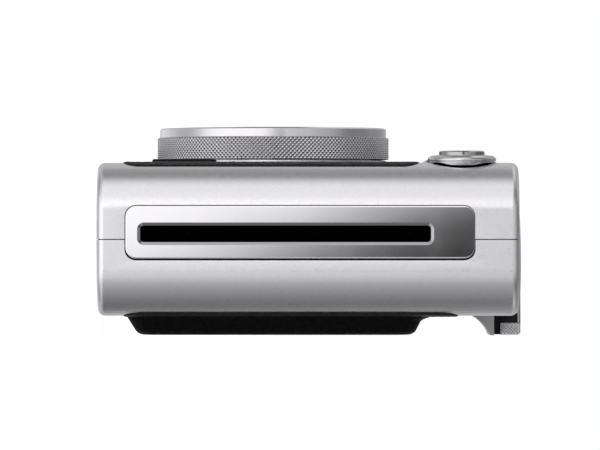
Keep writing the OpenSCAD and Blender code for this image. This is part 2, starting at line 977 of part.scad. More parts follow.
module tripod_socket() {
    color(brass)
        difference() {
            union() {
                post([0, tripod_depth], tripod_r + 2, 0, tripod_l + 1);
                post([0, tripod_depth], tripod_r + 2.6, wall, wall + 1.2);
            }
            post([0, tripod_depth], tripod_r, -past, tripod_l);
        }
}

module strap_eyelet() {
    color(steel)
        difference() {
            union() {
                depth_disc(-end_x - eyelet_out, eyelet_z, eyelet_r + eyelet_rim,
                           seam - eyelet_t / 2, seam + eyelet_t / 2);
                block([-end_x - eyelet_out, -cavity_x + 0.5], [seam - eyelet_t / 2, seam + eyelet_t / 2],
                      [eyelet_z - eyelet_neck / 2, eyelet_z + eyelet_neck / 2]);
                block([-cavity_x, -cavity_x + 1], [seam - eyelet_t / 2 - 1, seam + eyelet_t / 2 + 1],
                      [eyelet_z - eyelet_neck / 2 - 1.2, eyelet_z + eyelet_neck / 2 + 1.2]);
            }
            depth_disc(-end_x - eyelet_out, eyelet_z, eyelet_r, seam - past - eyelet_t, seam + past + eyelet_t);
        }
}

module port_cover() {
    color("#a9aaad") {
        along_x(-end_x, -end_x + port_t - 0.05)
            port_outline();
        post(port_axis, port_pin_r, port_z - port_l / 2 - 0.9, port_z + port_l / 2 + 0.9);
    }
}

// The charging socket and the card slot behind the port cover
module port_block() {
    back_x = -cavity_x + 6;
    color(steel)
        difference() {
            block([-cavity_x, back_x], [seam - 2.3, seam + 2.3], [port_z - 10.8, port_z + 10.8]);
            block([-cavity_x - past, back_x - 1], [seam - 1.4, seam + 1.4], [port_z - 9.5, port_z - 0.8]);
            block([-cavity_x - past, back_x - 1], [seam - 0.5, seam + 0.5], [port_z + 1.2, port_z + 10]);
        }
}

module cover_screws() {
    color(steel)
        for (x = [-screw_x, screw_x], d = [screw_in, body_d - screw_in])
            difference() {
                cover_screw([x, d]);
                block([x - 1.2, x + 1.2], [d - 0.25, d + 0.25], [0, 0.6]);
                block([x - 0.25, x + 0.25], [d - 1.2, d + 1.2], [0, 0.6]);
            }
}

// Inside

// The frame that carries the film pack, the rollers, the gears and the top plate
module chassis() {
    rear = pack_back;
    color("#3a3b3e")
        difference() {
            union() {
                block([pack_x0 - 1.8, pack_x1 + 0.5], [midwall_front, midwall_front + midwall_t],
                      [floor_z, flange_z]);
                block([pack_x0 - 1.8, roller_x + 5], [midwall_front, rear], [shelf_z, shelf_z + shelf_t]);
                block([pack_x0 - 1.8, roller_x + 5], [midwall_front, rear],
                      [pack_low - clear - shelf_t, pack_low - clear]);
                block([pack_x0 - 1.8, pack_x0 - 0.6], [midwall_front, rear], [floor_z, flange_z]);
                for (z = [shelf_z, pack_low - clear - shelf_t])
                    block([roller_x - 6, roller_x + 5], [front_roller_at[1] - 4, midwall_front + past],
                          [z, z + shelf_t]);
                block([pinion_at[0] - 6, roller_x], [pinion_at[1] - 5.2, midwall_front + past],
                      [shelf_z, shelf_z + shelf_t]);
                block([-flat_x + 1, flat_x - 1], [wall + 1.2, body_d - wall - clear],
                      [floor_z, floor_z + floor_t]);
                block([-flat_x + 1, flat_x - 1], [plate_front + 1, body_d - wall - clear],
                      [flange_z, flange_z + flange_t]);
                block([dial_x - well_r - 1, dial_x + well_r + 1], [plate_front + 1, body_d - wall - clear],
                      [dial_floor - dial_floor_t, flange_z + 0.2]);
                for (x = [screw_x, -screw_x], d = [screw_in, body_d - screw_in])
                    post([x, d], 2.4, floor_z, floor_z + floor_t + 1.6);
            }
            film_dial_well(well_r);
            for (at = [front_roller_at, rear_roller_at])
                post(at, shaft_r + run, floor_z + 2, gear_z2);
            post(lever_at, lever_screw_r, flange_z - past, body_h);
            depth_disc(button_x, button_z, collar_in_r + clear, -past,
                       collar_foot + button_foot + shutter_travel + 2 * clear);
            post([top_button_x, top_button_depth], stem_r + run, flange_z - 3, body_h);
            post([0, tripod_depth], tripod_r + 2.8, 0, tripod_l + 2);
            post(pinion_at, 2.2, shelf_z - past, gear_z2);
            block([reduction_at[0] - pitch_r(large_teeth) - 1.5, pack_x1 + past],
                  [midwall_front - past, midwall_front + midwall_t + past],
                  [shelf_z + shelf_t, gear_z2 + gear_t + 0.8]);
            block([pack_x0 - 2.4, pack_x0 + film_lead + 0.6], [midwall_front - past, film_depth + 2],
                  [claw_low - 2 * clear, claw_low + claw_h + 2 * clear]);
            block([latch_x - latch_l / 2 - 4, latch_x + latch_l / 2 + 4],
                  [latch_depth - 3.2, body_d], [floor_z - past, floor_z + floor_t + past]);
            for (x = [-screw_x, screw_x], d = [screw_in, body_d - screw_in])
                cover_screw([x, d]);
        }
    color("#3a3b3e") {
        post([dial_x, film_dial_depth], dial_pin_r, dial_floor, dial_floor + 3);
        post(idler_at, gear_pin_r, shelf_z + shelf_t, gear_z1 + gear_t + 0.2);
        post(reduction_at, gear_pin_r, shelf_z + shelf_t, gear_z2 + gear_t);
    }
}

// The film pack's case, open where the film is exposed, pushed and let out
module film_pack() {
    case_t = 1;
    color("#26272a")
        difference() {
            block([pack_x0, pack_x1], [pack_front, pack_back], [pack_low, pack_high]);
            block([pack_x0 + case_t, pack_x1 - case_t], [pack_front + case_t, pack_back - case_t],
                  [pack_low + case_t, pack_high - case_t]);
            block([pack_x0 + 16, pack_x1 - 14], [pack_front - past, pack_front + case_t + past],
                  [film_z - film_w / 2 + 4, film_z + film_w / 2 - 4]);
            block([pack_x1 - case_t - past, pack_x1 + past], [film_depth - 0.4, film_depth + 0.5],
                  [film_z - film_w / 2 - 0.5, film_z + film_w / 2 + 0.5]);
            block([pack_x0 - past, pack_x0 + film_lead + 0.4], [pack_front - past, film_depth + 0.9],
                  [claw_low - 2 * clear, claw_low + claw_h + 2 * clear]);
        }
}

// Ten sheets of film and the pressure plate behind them
module film_sheets() {
    color("#e9e7e1") {
        block([pack_x0 + film_lead, pack_x1 - 1.2], [pack_front + 1.2, pack_front + 7.2],
              [film_z - film_w / 2, film_z + film_w / 2]);
        block([pack_x0 + 8, pack_x1 - 8], [pack_front + 7.2, pack_back - 1],
              [film_z - 14, film_z + 14]);
    }
}

module roller(at) {
    post(at, roller_r, film_z - roller_l / 2, film_z + roller_l / 2);
    post(at, shaft_r, pack_low - clear - shelf_t - 0.4, gear_z1 + gear_t + 0.2);
}

module front_roller() {
    color(steel) roller(front_roller_at);
}

module rear_roller() {
    color(steel) roller(rear_roller_at);
}

module front_roller_gear() {
    color("#e4dfd0") gear(front_roller_at, roller_teeth, front_turn, shaft_r, gear_z1);
}

module rear_roller_gear() {
    color("#e4dfd0") gear(rear_roller_at, roller_teeth, 0, shaft_r, gear_z1);
}

module idler_gear() {
    color("#e4dfd0") gear(idler_at, idler_teeth, idler_turn, gear_pin_r + run, gear_z1);
}

// A compound gear: the large wheel takes the motor, the small one drives the idler
module reduction_gear() {
    color("#e4dfd0") {
        gear(reduction_at, small_teeth, reduction_turn, gear_pin_r + run, gear_z1);
        gear(reduction_at, large_teeth, reduction_turn, gear_pin_r + run, gear_z2);
        translate([reduction_at[0], y_front + reduction_at[1], gear_z1 + gear_t - 0.1])
            linear_extrude(gear_z2 - gear_z1 - gear_t + 0.2)
                difference() {
                    circle(pitch_r(small_teeth) - dedendum * gear_m - 0.1);
                    circle(gear_pin_r + run);
                }
    }
}

motor_shaft_r = 0.75;

module motor() {
    color(steel)
        post(pinion_at, motor_r, shelf_z - motor_l, shelf_z);
}

module motor_pinion() {
    color(brass) {
        gear(pinion_at, small_teeth, pinion_turn, motor_shaft_r, gear_z2);
        post(pinion_at, motor_shaft_r, shelf_z + 0.1, gear_z2 + gear_t);
    }
}

// The line exposure head, across the film just before the rollers
module print_head() {
    color(black)
        block([pack_x1 + 0.9, pack_x1 + 3.3], [film_depth - 7, film_depth - 0.6],
              [pack_low - clear, shelf_z]);
}

// A slider in front of the pack, with a finger that pushes the front sheet
module pick_claw() {
    color(steel) {
        block([pack_x0 - 4.2, pack_x0 + 10], [midwall_front - 1.3, midwall_front - 0.1],
              [claw_low, claw_low + claw_h]);
        block([pack_x0 - 1.5, pack_x0 - 0.3], [midwall_front - 0.2, film_depth + 0.5],
              [claw_low, claw_low + claw_h]);
    }
}

module main_board() {
    face = midwall_front - board_t;
    color(board_green)
        block([board_x0, board_x1], [face, midwall_front], [board_low, board_high]);
    color("#202124") {
        block([board_x0 + chip_gap, board_x0 + chip_gap + chip_w], [face - chip_t, face],
              [board_high - 3 * chip_h, board_high - 2 * chip_h]);
        block([board_x1 - chip_gap - chip_w, board_x1 - chip_gap], [face - chip_t, face],
              [board_high - 2 * chip_h, board_high - chip_h]);
        block([board_x0 + 2 * chip_gap, board_x0 + 2 * chip_gap + 2 * chip_w], [face - chip_t, face],
              [board_high - chip_h + chip_gap / 2, board_high - chip_gap / 2]);
    }
}

module battery() {
    color("#4b6fa5")
        block([-flat_x - battery_past, board_x0 - chip_gap], [wall + 0.9, midwall_front],
              [floor_z + floor_t + 2.2, claw_low - clear - 1]);
}

// Rear door

module film_door() {
    color(black)
        difference() {
            union() {
                intersection() {
                    body_form();
                    through_depth(door_in, body_d + past)
                        door_outline();
                }
                hinge_post(knuckle_r, knuckle_low + knuckle_l + clear, knuckle_high - knuckle_l - clear);
                block([hinge_x, door_x0 + 3], [hinge_depth - 0.9, hinge_depth + 0.7],
                      [knuckle_low + knuckle_l + clear, knuckle_high - knuckle_l - clear]);
            }
            for (z = [knuckle_low, knuckle_high - knuckle_l])
                hinge_post(knuckle_r + clear, z - clear, z + knuckle_l + clear);
            hinge_post(pin_r + run, knuckle_low, knuckle_high);
        }
}

// Outlines of the raised housing, from below and from the end
module house_plan(g) {
    polygon([
        [house_x0 + g, body_d],
        [house_x0 + slope + g, rear_reach - g],
        [house_x1 - slope - g, rear_reach - g],
        [house_x1 - g, body_d]
    ]);
}

// The housing's section: sloped sides, and a hollow curve down to the flange at the top
module house_section(g) {
    fillet = 2.4;
    steps = 6;
    polygon(concat(
        [[body_d, house_low + g], [rear_reach - g, house_low + slope + g]],
        [[rear_reach - g, house_high - slope - g]],
        [for (k = [0:steps])
            let (a = 36 + k * (90 - 36) / steps)
            [body_d + fillet + flange_rise - fillet * sin(a), house_high + fillet * (1.55 - cos(a)) - 0.95 - g]],
        [[body_d, house_high + 1.6 - g]]
    ));
}

module key_places() {
    for (at = [[keys_x, key_top_z], [keys_x - key_step, key_low_z], [keys_x + key_step, key_low_z]])
        translate(at)
            children();
}

module door_housing() {
    hollow_back = rear_reach - house_wall;
    color(black)
        difference() {
            union() {
                intersection() {
                    along_x(house_x0, house_x1)
                        house_section(0);
                    upright(0, body_h)
                        house_plan(0);
                }
                through_depth(body_d, body_d + flange_rise)
                    rounded_span([-flat_x + 1.5, flat_x], [door_low, door_high], door_r);
            }
            block([house_x0 + slope + 1, house_x1 - slope - 1], [body_d - past, hollow_back],
                  [house_low + slope + 1, house_high - slope - 1]);
            through_depth(hollow_back - past, rear_reach + past) {
                rounded_span([screen_x0, screen_x1],
                             [screen_z - screen_h / 2, screen_z + screen_h / 2], 1.5);
                translate([keys_x, screen_z])
                    circle(pad_r + key_gap);
                key_places()
                    circle(key_r + key_gap);
            }
        }
}

module screen_glass() {
    color("#101114")
        through_depth(rear_reach - glass_t, rear_reach)
            rounded_span([screen_x0 + 0.1, screen_x1 - 0.1],
                         [screen_z - screen_h / 2 + 0.1, screen_z + screen_h / 2 - 0.1], 1.4);
}

module screen_panel() {
    color("#2c2f36")
        block([screen_x0 + 1, screen_x1 - 1], [board_back, rear_reach - glass_t],
              [screen_z - screen_h / 2 + 1, screen_z + screen_h / 2 - 1]);
}

module door_board() {
    color(board_green)
        block([house_x0 + slope + 1.2, house_x1 - slope - 1.2], [body_d, board_back],
              [house_low + slope + 1.2, house_high - slope - 1.2]);
}

module hinge_pin() {
    color(steel)
        hinge_post(pin_r, knuckle_low, knuckle_high);
}

// The slider under the body that frees the door, with its thumb piece in a pocket
module door_latch() {
    x0 = latch_x - latch_l / 2 + 0.3;
    x1 = latch_x + latch_l / 2 - latch_travel - 0.3;
    color("#2b2c2f")
        difference() {
            union() {
                block([x0, x1], [latch_depth - latch_w / 2 + 0.15, latch_depth + latch_w / 2 - 0.15],
                      [0.4, wall + 0.2]);
                block([x0 - 2, x1 + 2], [latch_depth - 2.7, latch_depth + 2.7],
                      [wall + 0.1, wall + 1.3]);
                block([x0, x0 + 3], [latch_depth + 1.2, latch_depth + 2.7], [wall + 1.2, door_low - clear]);
            }
            for (k = [1:4])
                block([x0 + k * 1.6 - 0.3, x0 + k * 1.6 + 0.3], [latch_depth - latch_w, latch_depth + latch_w],
                      [-past, 0.8]);
        }
}

// A key with a flange under the housing's skin
module key_solid(r, bore) {
    skin = rear_reach - house_wall;
    difference() {
        union() {
            depth_disc(0, 0, r, skin - 0.1, rear_reach + key_rise);
            depth_disc(0, 0, r + 0.6, skin - 0.1 - key_flange, skin - 0.1);
        }
        if (bore > 0)
            depth_disc(0, 0, bore, body_d, rear_reach + past + key_rise);
    }
}

module four_way_pad() {
    color("#2b2c2f")
        translate([keys_x, 0, screen_z])
            difference() {
                key_solid(pad_r, ok_r + key_gap);
                depth_disc(0, 0, ok_r + ok_flange + 0.1, body_d,
                           rear_reach - house_wall - key_flange + key_travel);
                for (a = [0:90:270])
                    rotate([0, a, 0])
                        depth_disc(0, pad_r - 1.8, 0.5, rear_reach + key_rise - 0.3, rear_reach + past + key_rise);
            }
}

module ok_key() {
    foot = board_back + key_travel + 0.05;
    color("#2b2c2f")
        translate([keys_x, 0, screen_z]) {
            depth_disc(0, 0, ok_r, foot, rear_reach + key_rise + 0.1);
            depth_disc(0, 0, ok_r + ok_flange, foot, foot + 0.4);
        }
}

module round_key(at) {
    color("#2b2c2f")
        translate([at[0], 0, at[1]])
            key_solid(key_r, 0);
}

module play_key() {
    round_key([keys_x, key_top_z]);
}

module back_key() {
    round_key([keys_x - key_step, key_low_z]);
}

module delete_key() {
    round_key([keys_x + key_step, key_low_z]);
}

front_cover();
rear_cover();
top_plate();
front_leatherette();
exit_bezel();
exit_light_seal();
lens_base_ring();
lens_dial();
lens_dial_cap();
lens_barrel();
lens_window();
lens_elements();
sensor_board();
front_button_collar();
front_shutter_button();
power_switch_frame();
power_slider();
flash_window();
flash_reflector();
selfie_mirror();
top_button_collar();
top_shutter_button();
print_lever();
lever_hub();
lever_base();
lever_screw();
film_dial();
accessory_shoe();
tripod_socket();
strap_eyelet();
port_cover();
port_block();
chassis();
film_pack();
film_sheets();
front_roller();
rear_roller();
front_roller_gear();
rear_roller_gear();
idler_gear();
reduction_gear();
motor();
motor_pinion();
print_head();
pick_claw();
main_board();
battery();
film_door();
door_housing();
screen_glass();
screen_panel();
door_board();
hinge_pin();
door_latch();
four_way_pad();
ok_key();
play_key();
back_key();
delete_key();
cover_screws();
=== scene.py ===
import math

import bmesh
import bpy
from mathutils import Matrix, Vector
from mathutils import noise as relief_noise


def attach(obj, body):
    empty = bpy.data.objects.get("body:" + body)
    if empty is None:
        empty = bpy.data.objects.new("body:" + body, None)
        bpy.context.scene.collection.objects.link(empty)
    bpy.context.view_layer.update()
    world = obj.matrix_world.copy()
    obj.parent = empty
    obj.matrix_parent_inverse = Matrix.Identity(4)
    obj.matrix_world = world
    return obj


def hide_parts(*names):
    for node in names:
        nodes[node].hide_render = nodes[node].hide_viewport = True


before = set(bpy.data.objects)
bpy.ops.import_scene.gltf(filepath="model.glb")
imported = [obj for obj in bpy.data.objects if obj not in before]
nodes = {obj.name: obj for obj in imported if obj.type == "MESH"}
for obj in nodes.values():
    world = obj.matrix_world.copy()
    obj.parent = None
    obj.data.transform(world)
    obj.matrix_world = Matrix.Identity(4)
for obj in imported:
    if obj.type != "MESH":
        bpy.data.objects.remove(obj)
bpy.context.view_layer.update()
scene = bpy.context.scene
ROOT = "camera_body"

# Sizes in millimetres, as in the part's source. Depth runs from the flat front face to the back.
MM = 0.001
WELD = 2e-7
FRONT_TO_ORIGIN = 8.0
BODY_W = 122.9
BODY_H = 87.0
BODY_D = 31.7
END_R = 9.7
EDGE_R = 1.5
WALL = 1.8
SEAM = 15.85
SEAM_HALF_GAP = 0.1
END_X = BODY_W / 2
FLAT_X = END_X - END_R
INLAY = 0.25
# Cutters run on by this much past the faces that they open
PAST = 2.0

LENS_Z = 36.0
LENS_AT = (0.0, LENS_Z)
LENS_SEAT = 2.15
DIAL_R = 25.15
CAP_R = 24.55
BORE_R = 20.0
BASE_RING_H = 1.05
DIAL_LOW = 1.25
DIAL_HIGH = 5.95
CAP_HIGH = 8.0

BEZEL_X = (60.25, 61.5)
BEZEL_D = (8.85, 19.85)
BEZEL_POCKET_D = (8.85, 20.1)
BEZEL_Z = (5.9, 77.8)
BEZEL_R = 2.3
BEZEL_GAP = 0.03
BEZEL_POCKET_GROW = 0.04
END_RIM_CUT = 0.7
LIP_W = 0.6
SLOT_D = (12.98, 16.42)
SLOT_Z = (9.0, 68.8)
SLOT_R = 0.8
THROAT_W = 1.0
COLLAR_X = 56.05
THROAT_X = 60.96
THROAT_IN_X = 57.0

BUTTON_X = 48.9
BUTTON_Z = 75.5
BUTTON_AT = (BUTTON_X, BUTTON_Z)
BUTTON_BORE_R = 6.45
POCKET_FLOOR = -1.65
SWITCH_X = (36.85, 43.25)
SWITCH_Z = (10.95, 24.35)
SWITCH_R = 1.5
SLIDER_X = (38.25, 41.85)
SLIDER_Z = (12.35, 22.95)
FLASH_X = (-44.0, -24.0)
FLASH_Z = (73.0, 82.0)
FLASH_R = 1.2
MIRROR_AT = (-9.0, 77.5)
FRONT_SKIN_X = (-55.65, 55.65)
FRONT_SKIN_Z = (5.2, 66.6)
FRONT_SKIN_R = 3.4
MIRROR_R = 4.6

PLATE_X = 55.25
PLATE_D = (5.0, 26.7)
PLATE_LOW = 84.2
PLATE_R = 3.9
TOP_BUTTON_AT = (-29.5, 13.0)
TOP_STEM_R = 2.0
FILM_DIAL_AT = (28.0, 20.4)
FILM_DIAL_R = 11.2
FILM_DIAL_TOP = BODY_H + 1.2
WELL_R = 11.9
DIAL_FLOOR = 82.9
CHANNEL_X = 10.9
CHANNEL_D = 8.2
LEVER_AT = (-46.55, 17.5)
LEVER_HUB_R = 6.6
LEVER_BORE_R = 3.56
LEVER_POST_R = 2.0
LEVER_TIP_X = -42.25
LEVER_TIP_HALF = 4.5
LEVER_TIP_D = (34.8, 37.65)
LEVER_Z = (90.75, 91.5)
SHELF_X = (-51.5, -33.5)
SHELF_TOP = 85.35
SHELF_BACK = 37.6
HOLLOW = (40.6, 76.97, 8.1)
BASE_FRONT = 27.5

DOOR_X = (-54.6, 55.35)
DOOR_Z = (6.2, 73.8)
DOOR_R = 3.0
DOOR_SKIN_Z = (5.25, 74.65)
DOOR_FLOOR = 28.9
LATCH_X = (25.75, 37.75)
LATCH_D = (23.7, 27.7)
HOUSE_X = (-46.75, 52.35)
HOUSE_Z = (5.9, 67.8)
HOUSE_BACK = 35.75
SCREEN_X = (-18.75, 47.25)
SCREEN_Z = (12.05, 62.05)
SCREEN_FLOOR = 33.0
KEYS_X = -31.15
PAD_Z = 37.05
PAD_R = 8.0
KEY_R = 3.0
KEY_TOP_Z = 55.55
KEY_LOW_Z = 18.55
KEY_STEP = 5.2
KEY_RISE = 0.6
KEY_FLOOR = 32.5
KEY_FOOT = 33.65
KEY_FLANGE = 34.15
KEY_FLANGE_W = 0.6
HINGE_AT = (-56.8, 31.0)
KNUCKLE_R = 1.7
KNUCKLE_FRONT = 28.0
HINGE_FLOOR = 29.8
KNUCKLES = ((11.9, 21.9), (57.9, 67.9))

PORT_D = (11.35, 20.35)
PORT_Z = (17.9, 43.9)
PORT_R = 1.2
PORT_FLOOR_X = -60.25
PORT_HOLE_X = (-61.0, -58.0)
EYELET_X = (-63.0, -58.0)
EYELET_Z = (69.8, 74.2)
SCREWS = ((-45.95, 5.0), (45.95, 5.0), (-45.95, 26.7), (45.95, 26.7))
SCREW_R = 1.7
SCREW_DEEP = 1.15
TRIPOD_AT = (0.0, FRONT_TO_ORIGIN)
TRIPOD_R = 3.175
TRIPOD_WALL = 2.0
TRIPOD_L = 5.5


# Places of an outline (u, v) and a height h on each side of the camera
def on_front(u, v, h):
    return (u, -h, v)


def on_back(u, v, h):
    return (u, h, v)


def on_top(u, v, h):
    return (u, v, h)


def on_end(u, v, h):
    return (h, u, v)


def place(point):
    x, depth, z = point
    return (x * MM, (depth - FRONT_TO_ORIGIN) * MM, z * MM)


def smooth(mesh, sharp):
    mesh.shade_smooth()
    mesh.set_sharp_from_angle(angle=math.radians(sharp))


def link(name, bm, sharp):
    mesh = bpy.data.meshes.new(name)
    bmesh.ops.remove_doubles(bm, verts=bm.verts, dist=WELD)
    bmesh.ops.dissolve_degenerate(bm, edges=bm.edges, dist=WELD)
    bmesh.ops.recalc_face_normals(bm, faces=bm.faces)
    bm.to_mesh(mesh)
    bm.free()
    if "custom_normal" in mesh.attributes:
        mesh.attributes.remove(mesh.attributes["custom_normal"])
    smooth(mesh, sharp)
    obj = bpy.data.objects.new(name, mesh)
    scene.collection.objects.link(obj)
    return obj


def make(name, parts, sharp=30.0, even=True):
    """One object from one or more (points, faces) in millimetres."""
    bm = bmesh.new()
    for points, faces in parts:
        verts = [bm.verts.new(place(p)) for p in points]
        for face in faces:
            if len(set(face)) > 2:
                bm.faces.new([verts[i] for i in face])
    obj = link(name, bm, sharp)
    if even:
        even_normals(obj)
    return obj


def shape(obj, cutters, operation="DIFFERENCE", sharp=30.0):
    """Cuts the cutters out of obj, or joins them on, and removes them."""
    obj.modifiers.clear()
    for tool in cutters:
        modifier = obj.modifiers.new("shape", "BOOLEAN")
        modifier.operation = operation
        modifier.solver = "EXACT"
        modifier.object = tool
    graph = bpy.context.evaluated_depsgraph_get()
    mesh = bpy.data.meshes.new_from_object(obj.evaluated_get(graph))
    obj.modifiers.clear()
    obj.data = mesh
    smooth(mesh, sharp)
    for tool in cutters:
        bpy.data.objects.remove(tool)
    return even_normals(obj)


def even_normals(obj):
    modifier = obj.modifiers.new("even_normals", "WEIGHTED_NORMAL")
    modifier.keep_sharp = True
    modifier.weight = 100
    return obj


def loft(loops, cyclic=False, closed=True):
    """Quads between loops of one length, capped at both ends unless the loops are cyclic."""
    n = len(loops[0])
    rows = len(loops)
    points = [p for loop in loops for p in loop]
    faces = []
    for i in range(rows if cyclic else rows - 1):
        a = i * n
        b = (i + 1) % rows * n
        for k in range(n if closed else n - 1):
            m = (k + 1) % n
            faces.append((a + k, a + m, b + m, b + k))
    if not cyclic:
        faces.append(tuple(range(n)))
        faces.append(tuple(range((rows - 1) * n, rows * n)))
    return points, faces


def turns(steps):
    return [2 * math.pi * k / steps for k in range(steps)]


def polar(centre, r, t):
    return (centre[0] + r * math.cos(t), centre[1] + r * math.sin(t))


def circle(centre, r, grow=0.0, steps=96):
    return [polar(centre, r + grow, t) for t in turns(steps)]


def rounded(a, b, r, grow=0.0, steps=8):
    """Outline of a rounded rectangle over the ranges a and b."""
    least = 0.02
    r = max(r + grow, least)
    a = (a[0] - grow + r, a[1] + grow - r)
    b = (b[0] - grow + r, b[1] + grow - r)
    outline = []
    for corner, centre in enumerate(((a[1], b[1]), (a[0], b[1]), (a[0], b[0]), (a[1], b[0]))):
        outline += [polar(centre, r, math.pi / 2 * (corner + k / steps)) for k in range(steps + 1)]
    return outline


def quarter(steps):
    """(1 - cos, 1 - sin) round a quarter turn."""
    angles = [math.pi / 2 * k / steps for k in range(steps + 1)]
    return [(1 - math.cos(t), 1 - math.sin(t)) for t in angles]


def edge_levels(low, high, low_r, high_r, steps=4):
    """(grow, height) pairs of a slab whose two rims are rounded."""
    arc = quarter(steps)
    rise = [(-low_r * s, low + low_r * c) for c, s in arc]
    return rise + [(-high_r * c, high - high_r * s) for c, s in arc]


def mouth(floor, face, past, chamfer, drop):
    """Levels of an opening from its floor to past the face, with a chamfer at its mouth."""
    return ((0.0, floor), (0.0, face - drop), (chamfer, face), (chamfer, past))


def inner(span, inset):
    return (span[0] + inset, span[1] - inset)


def slab(outline, levels, side, cyclic=False):
    """outline(grow) drawn through (grow, height) levels."""
    return loft([[side(u, v, h) for u, v in outline(grow)] for grow, h in levels], cyclic)


def panel(a, b, r, levels, side, grow=0.0):
    """A rounded rectangle over the ranges a and b, drawn through (grow, height) levels."""
    return slab(lambda g: rounded(a, b, r, grow + g), levels, side)


def prism(outline, low, high, side):
    """A fixed outline drawn straight from low to high."""
    return loft([[side(u, v, h) for u, v in outline] for h in (low, high)])


def fillet(points):
    """A closed profile of (u, v) points; those given as (u, v, radius) are rounded corners."""
    most = 0.49
    steps = 5
    out = []
    for i, (u, v, *radius) in enumerate(points):
        if not radius:
            out.append((u, v))
            continue
        here = Vector((u, v))
        before = Vector(points[i - 1][:2]) - here
        after = Vector(points[(i + 1) % len(points)][:2]) - here
        reach = radius[0] / math.tan(before.angle(after) / 2)
        reach = min(reach, most * before.length, most * after.length)
        start = here + before.normalized() * reach
        end = here + after.normalized() * reach
        for k in range(steps + 1):
            s = k / steps
            out.append(tuple((1 - s) ** 2 * start + 2 * s * (1 - s) * here + s * s * end))
    return out


def turned(profile, centre, side, steps=128, closed=True):
    """A profile of (radius, height) turned about an axis through centre."""
    loops = [[side(*polar(centre, r, t), h) for r, h in profile] for t in turns(steps)]
    return loft(loops, True, closed)


def even_path(outline, count):
    """count points spaced evenly along a closed outline, each with its outward normal."""
    total = len(outline)
    lengths = [math.dist(outline[k], outline[(k + 1) % total]) for k in range(total)]
    step = sum(lengths) / count
    path = []
    k = 0
    passed = 0.0
    for i in range(count):
        while passed + lengths[k] < i * step:
            passed += lengths[k]
            k += 1
        p = Vector(outline[k])
        q = Vector(outline[(k + 1) % total])
        along = (q - p).normalized()
        path.append((p + along * (i * step - passed), Vector((along.y, -along.x))))
    return path


def knurled(path, side, heights, depth, below, above, capped=True):
    """A wall of small pyramids along a path, between plain loops that are given as (grow, height).

    The two end loops are capped, or else joined to each other.
    """
    def loop(grow, h):
        return [side(*(p + n * grow), h) for p, n in path]

    def toothed(row, h):
        return [side(*(p + n * (0.0 if (i + row) % 2 == 0 else -depth)), h) for i, (p, n) in enumerate(path)]

    loops = [loop(*level) for level in below]
    loops += [toothed(row, h) for row, h in enumerate(heights)]
    loops += [loop(*level) for level in above]
    points, faces = loft(loops, cyclic=not capped)
    count = len(path)
    first = len(below) * count
    last = first + (len(heights) - 1) * count
    teeth = []
    for k, (a, b, c, d) in enumerate(faces[first:last]):
        if sum(divmod(k, count)) % 2 == 0:
            teeth += [(a, b, d), (b, c, d)]
        else:
            teeth += [(a, b, c), (a, c, d)]
    return points, faces[:first] + teeth + faces[last:]


def marks_round(centre, count, outline, low, high, side):
    """Copies round a centre of a small outline, which is given along and across the radius."""
    parts = []
    for t in turns(count):
        corners = [polar(polar(centre, a, t), b, t + math.pi / 2) for a, b in outline]
        parts.append(prism(corners, low, high, side))
    return parts


def even_heights(low, high, rows):
    steps = round(2 * rows)
    return [low + (high - low) * j / steps for j in range(steps + 1)]


def eased(name, node, radius, segments=2):
    """A copy of a CAD node's solid with its sharp edges eased."""
    sharp = 32.0
    bm = bmesh.new()
    bm.from_mesh(nodes[node].data)
    bmesh.ops.remove_doubles(bm, verts=bm.verts, dist=WELD)
    bmesh.ops.dissolve_limit(bm, angle_limit=math.radians(1.0), verts=bm.verts, edges=bm.edges)
    edges = [e for e in bm.edges if e.is_manifold and e.calc_face_angle(0.0) > math.radians(sharp)]
    bmesh.ops.bevel(
        bm, geom=edges, offset=radius * MM, offset_type="OFFSET", segments=segments,
        profile=0.5, affect="EDGES", clamp_overlap=True)
    return even_normals(link(name, bm, sharp))


def dress(obj, body, look, slot, *replaced):
    obj.data.materials.clear()
    obj.data.materials.append(look)
    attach(obj, body)
    if replaced:
        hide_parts(*replaced)


# Materials
class Tree:
    """A node tree, with the nodes that are added to it."""

    def __init__(self, tree):
        self.tree = tree

    def put(self, socket, value):
        if isinstance(value, bpy.types.NodeSocket):
            self.tree.links.new(value, socket)
        else:
            socket.default_value = value

    def add(self, kind, values=(), **settings):
        node = self.tree.nodes.new(kind)
        for key, value in settings.items():
            setattr(node, key, value)
        for key, value in dict(values).items():
            self.put(node.inputs[key], value)
        return node

    def calc(self, operation, a, b=0.0):
        return self.add("ShaderNodeMath", {0: a, 1: b}, operation=operation).outputs[0]

    def ramp(self, factor, stops):
        node = self.add("ShaderNodeValToRGB", {"Fac": factor})
        elements = node.color_ramp.elements
        while len(elements) < len(stops):
            elements.new(0.5)
        for element, (at, colour) in zip(elements, stops):
            element.position = at
            element.color = (*colour, 1.0)
        return node.outputs["Color"]

    def span(self, value, low, high, start=0.3, end=0.7, **settings):
        values = {"Value": value, "From Min": start, "From Max": end, "To Min": low, "To Max": high}
        return self.add("ShaderNodeMapRange", values, **settings).outputs["Result"]


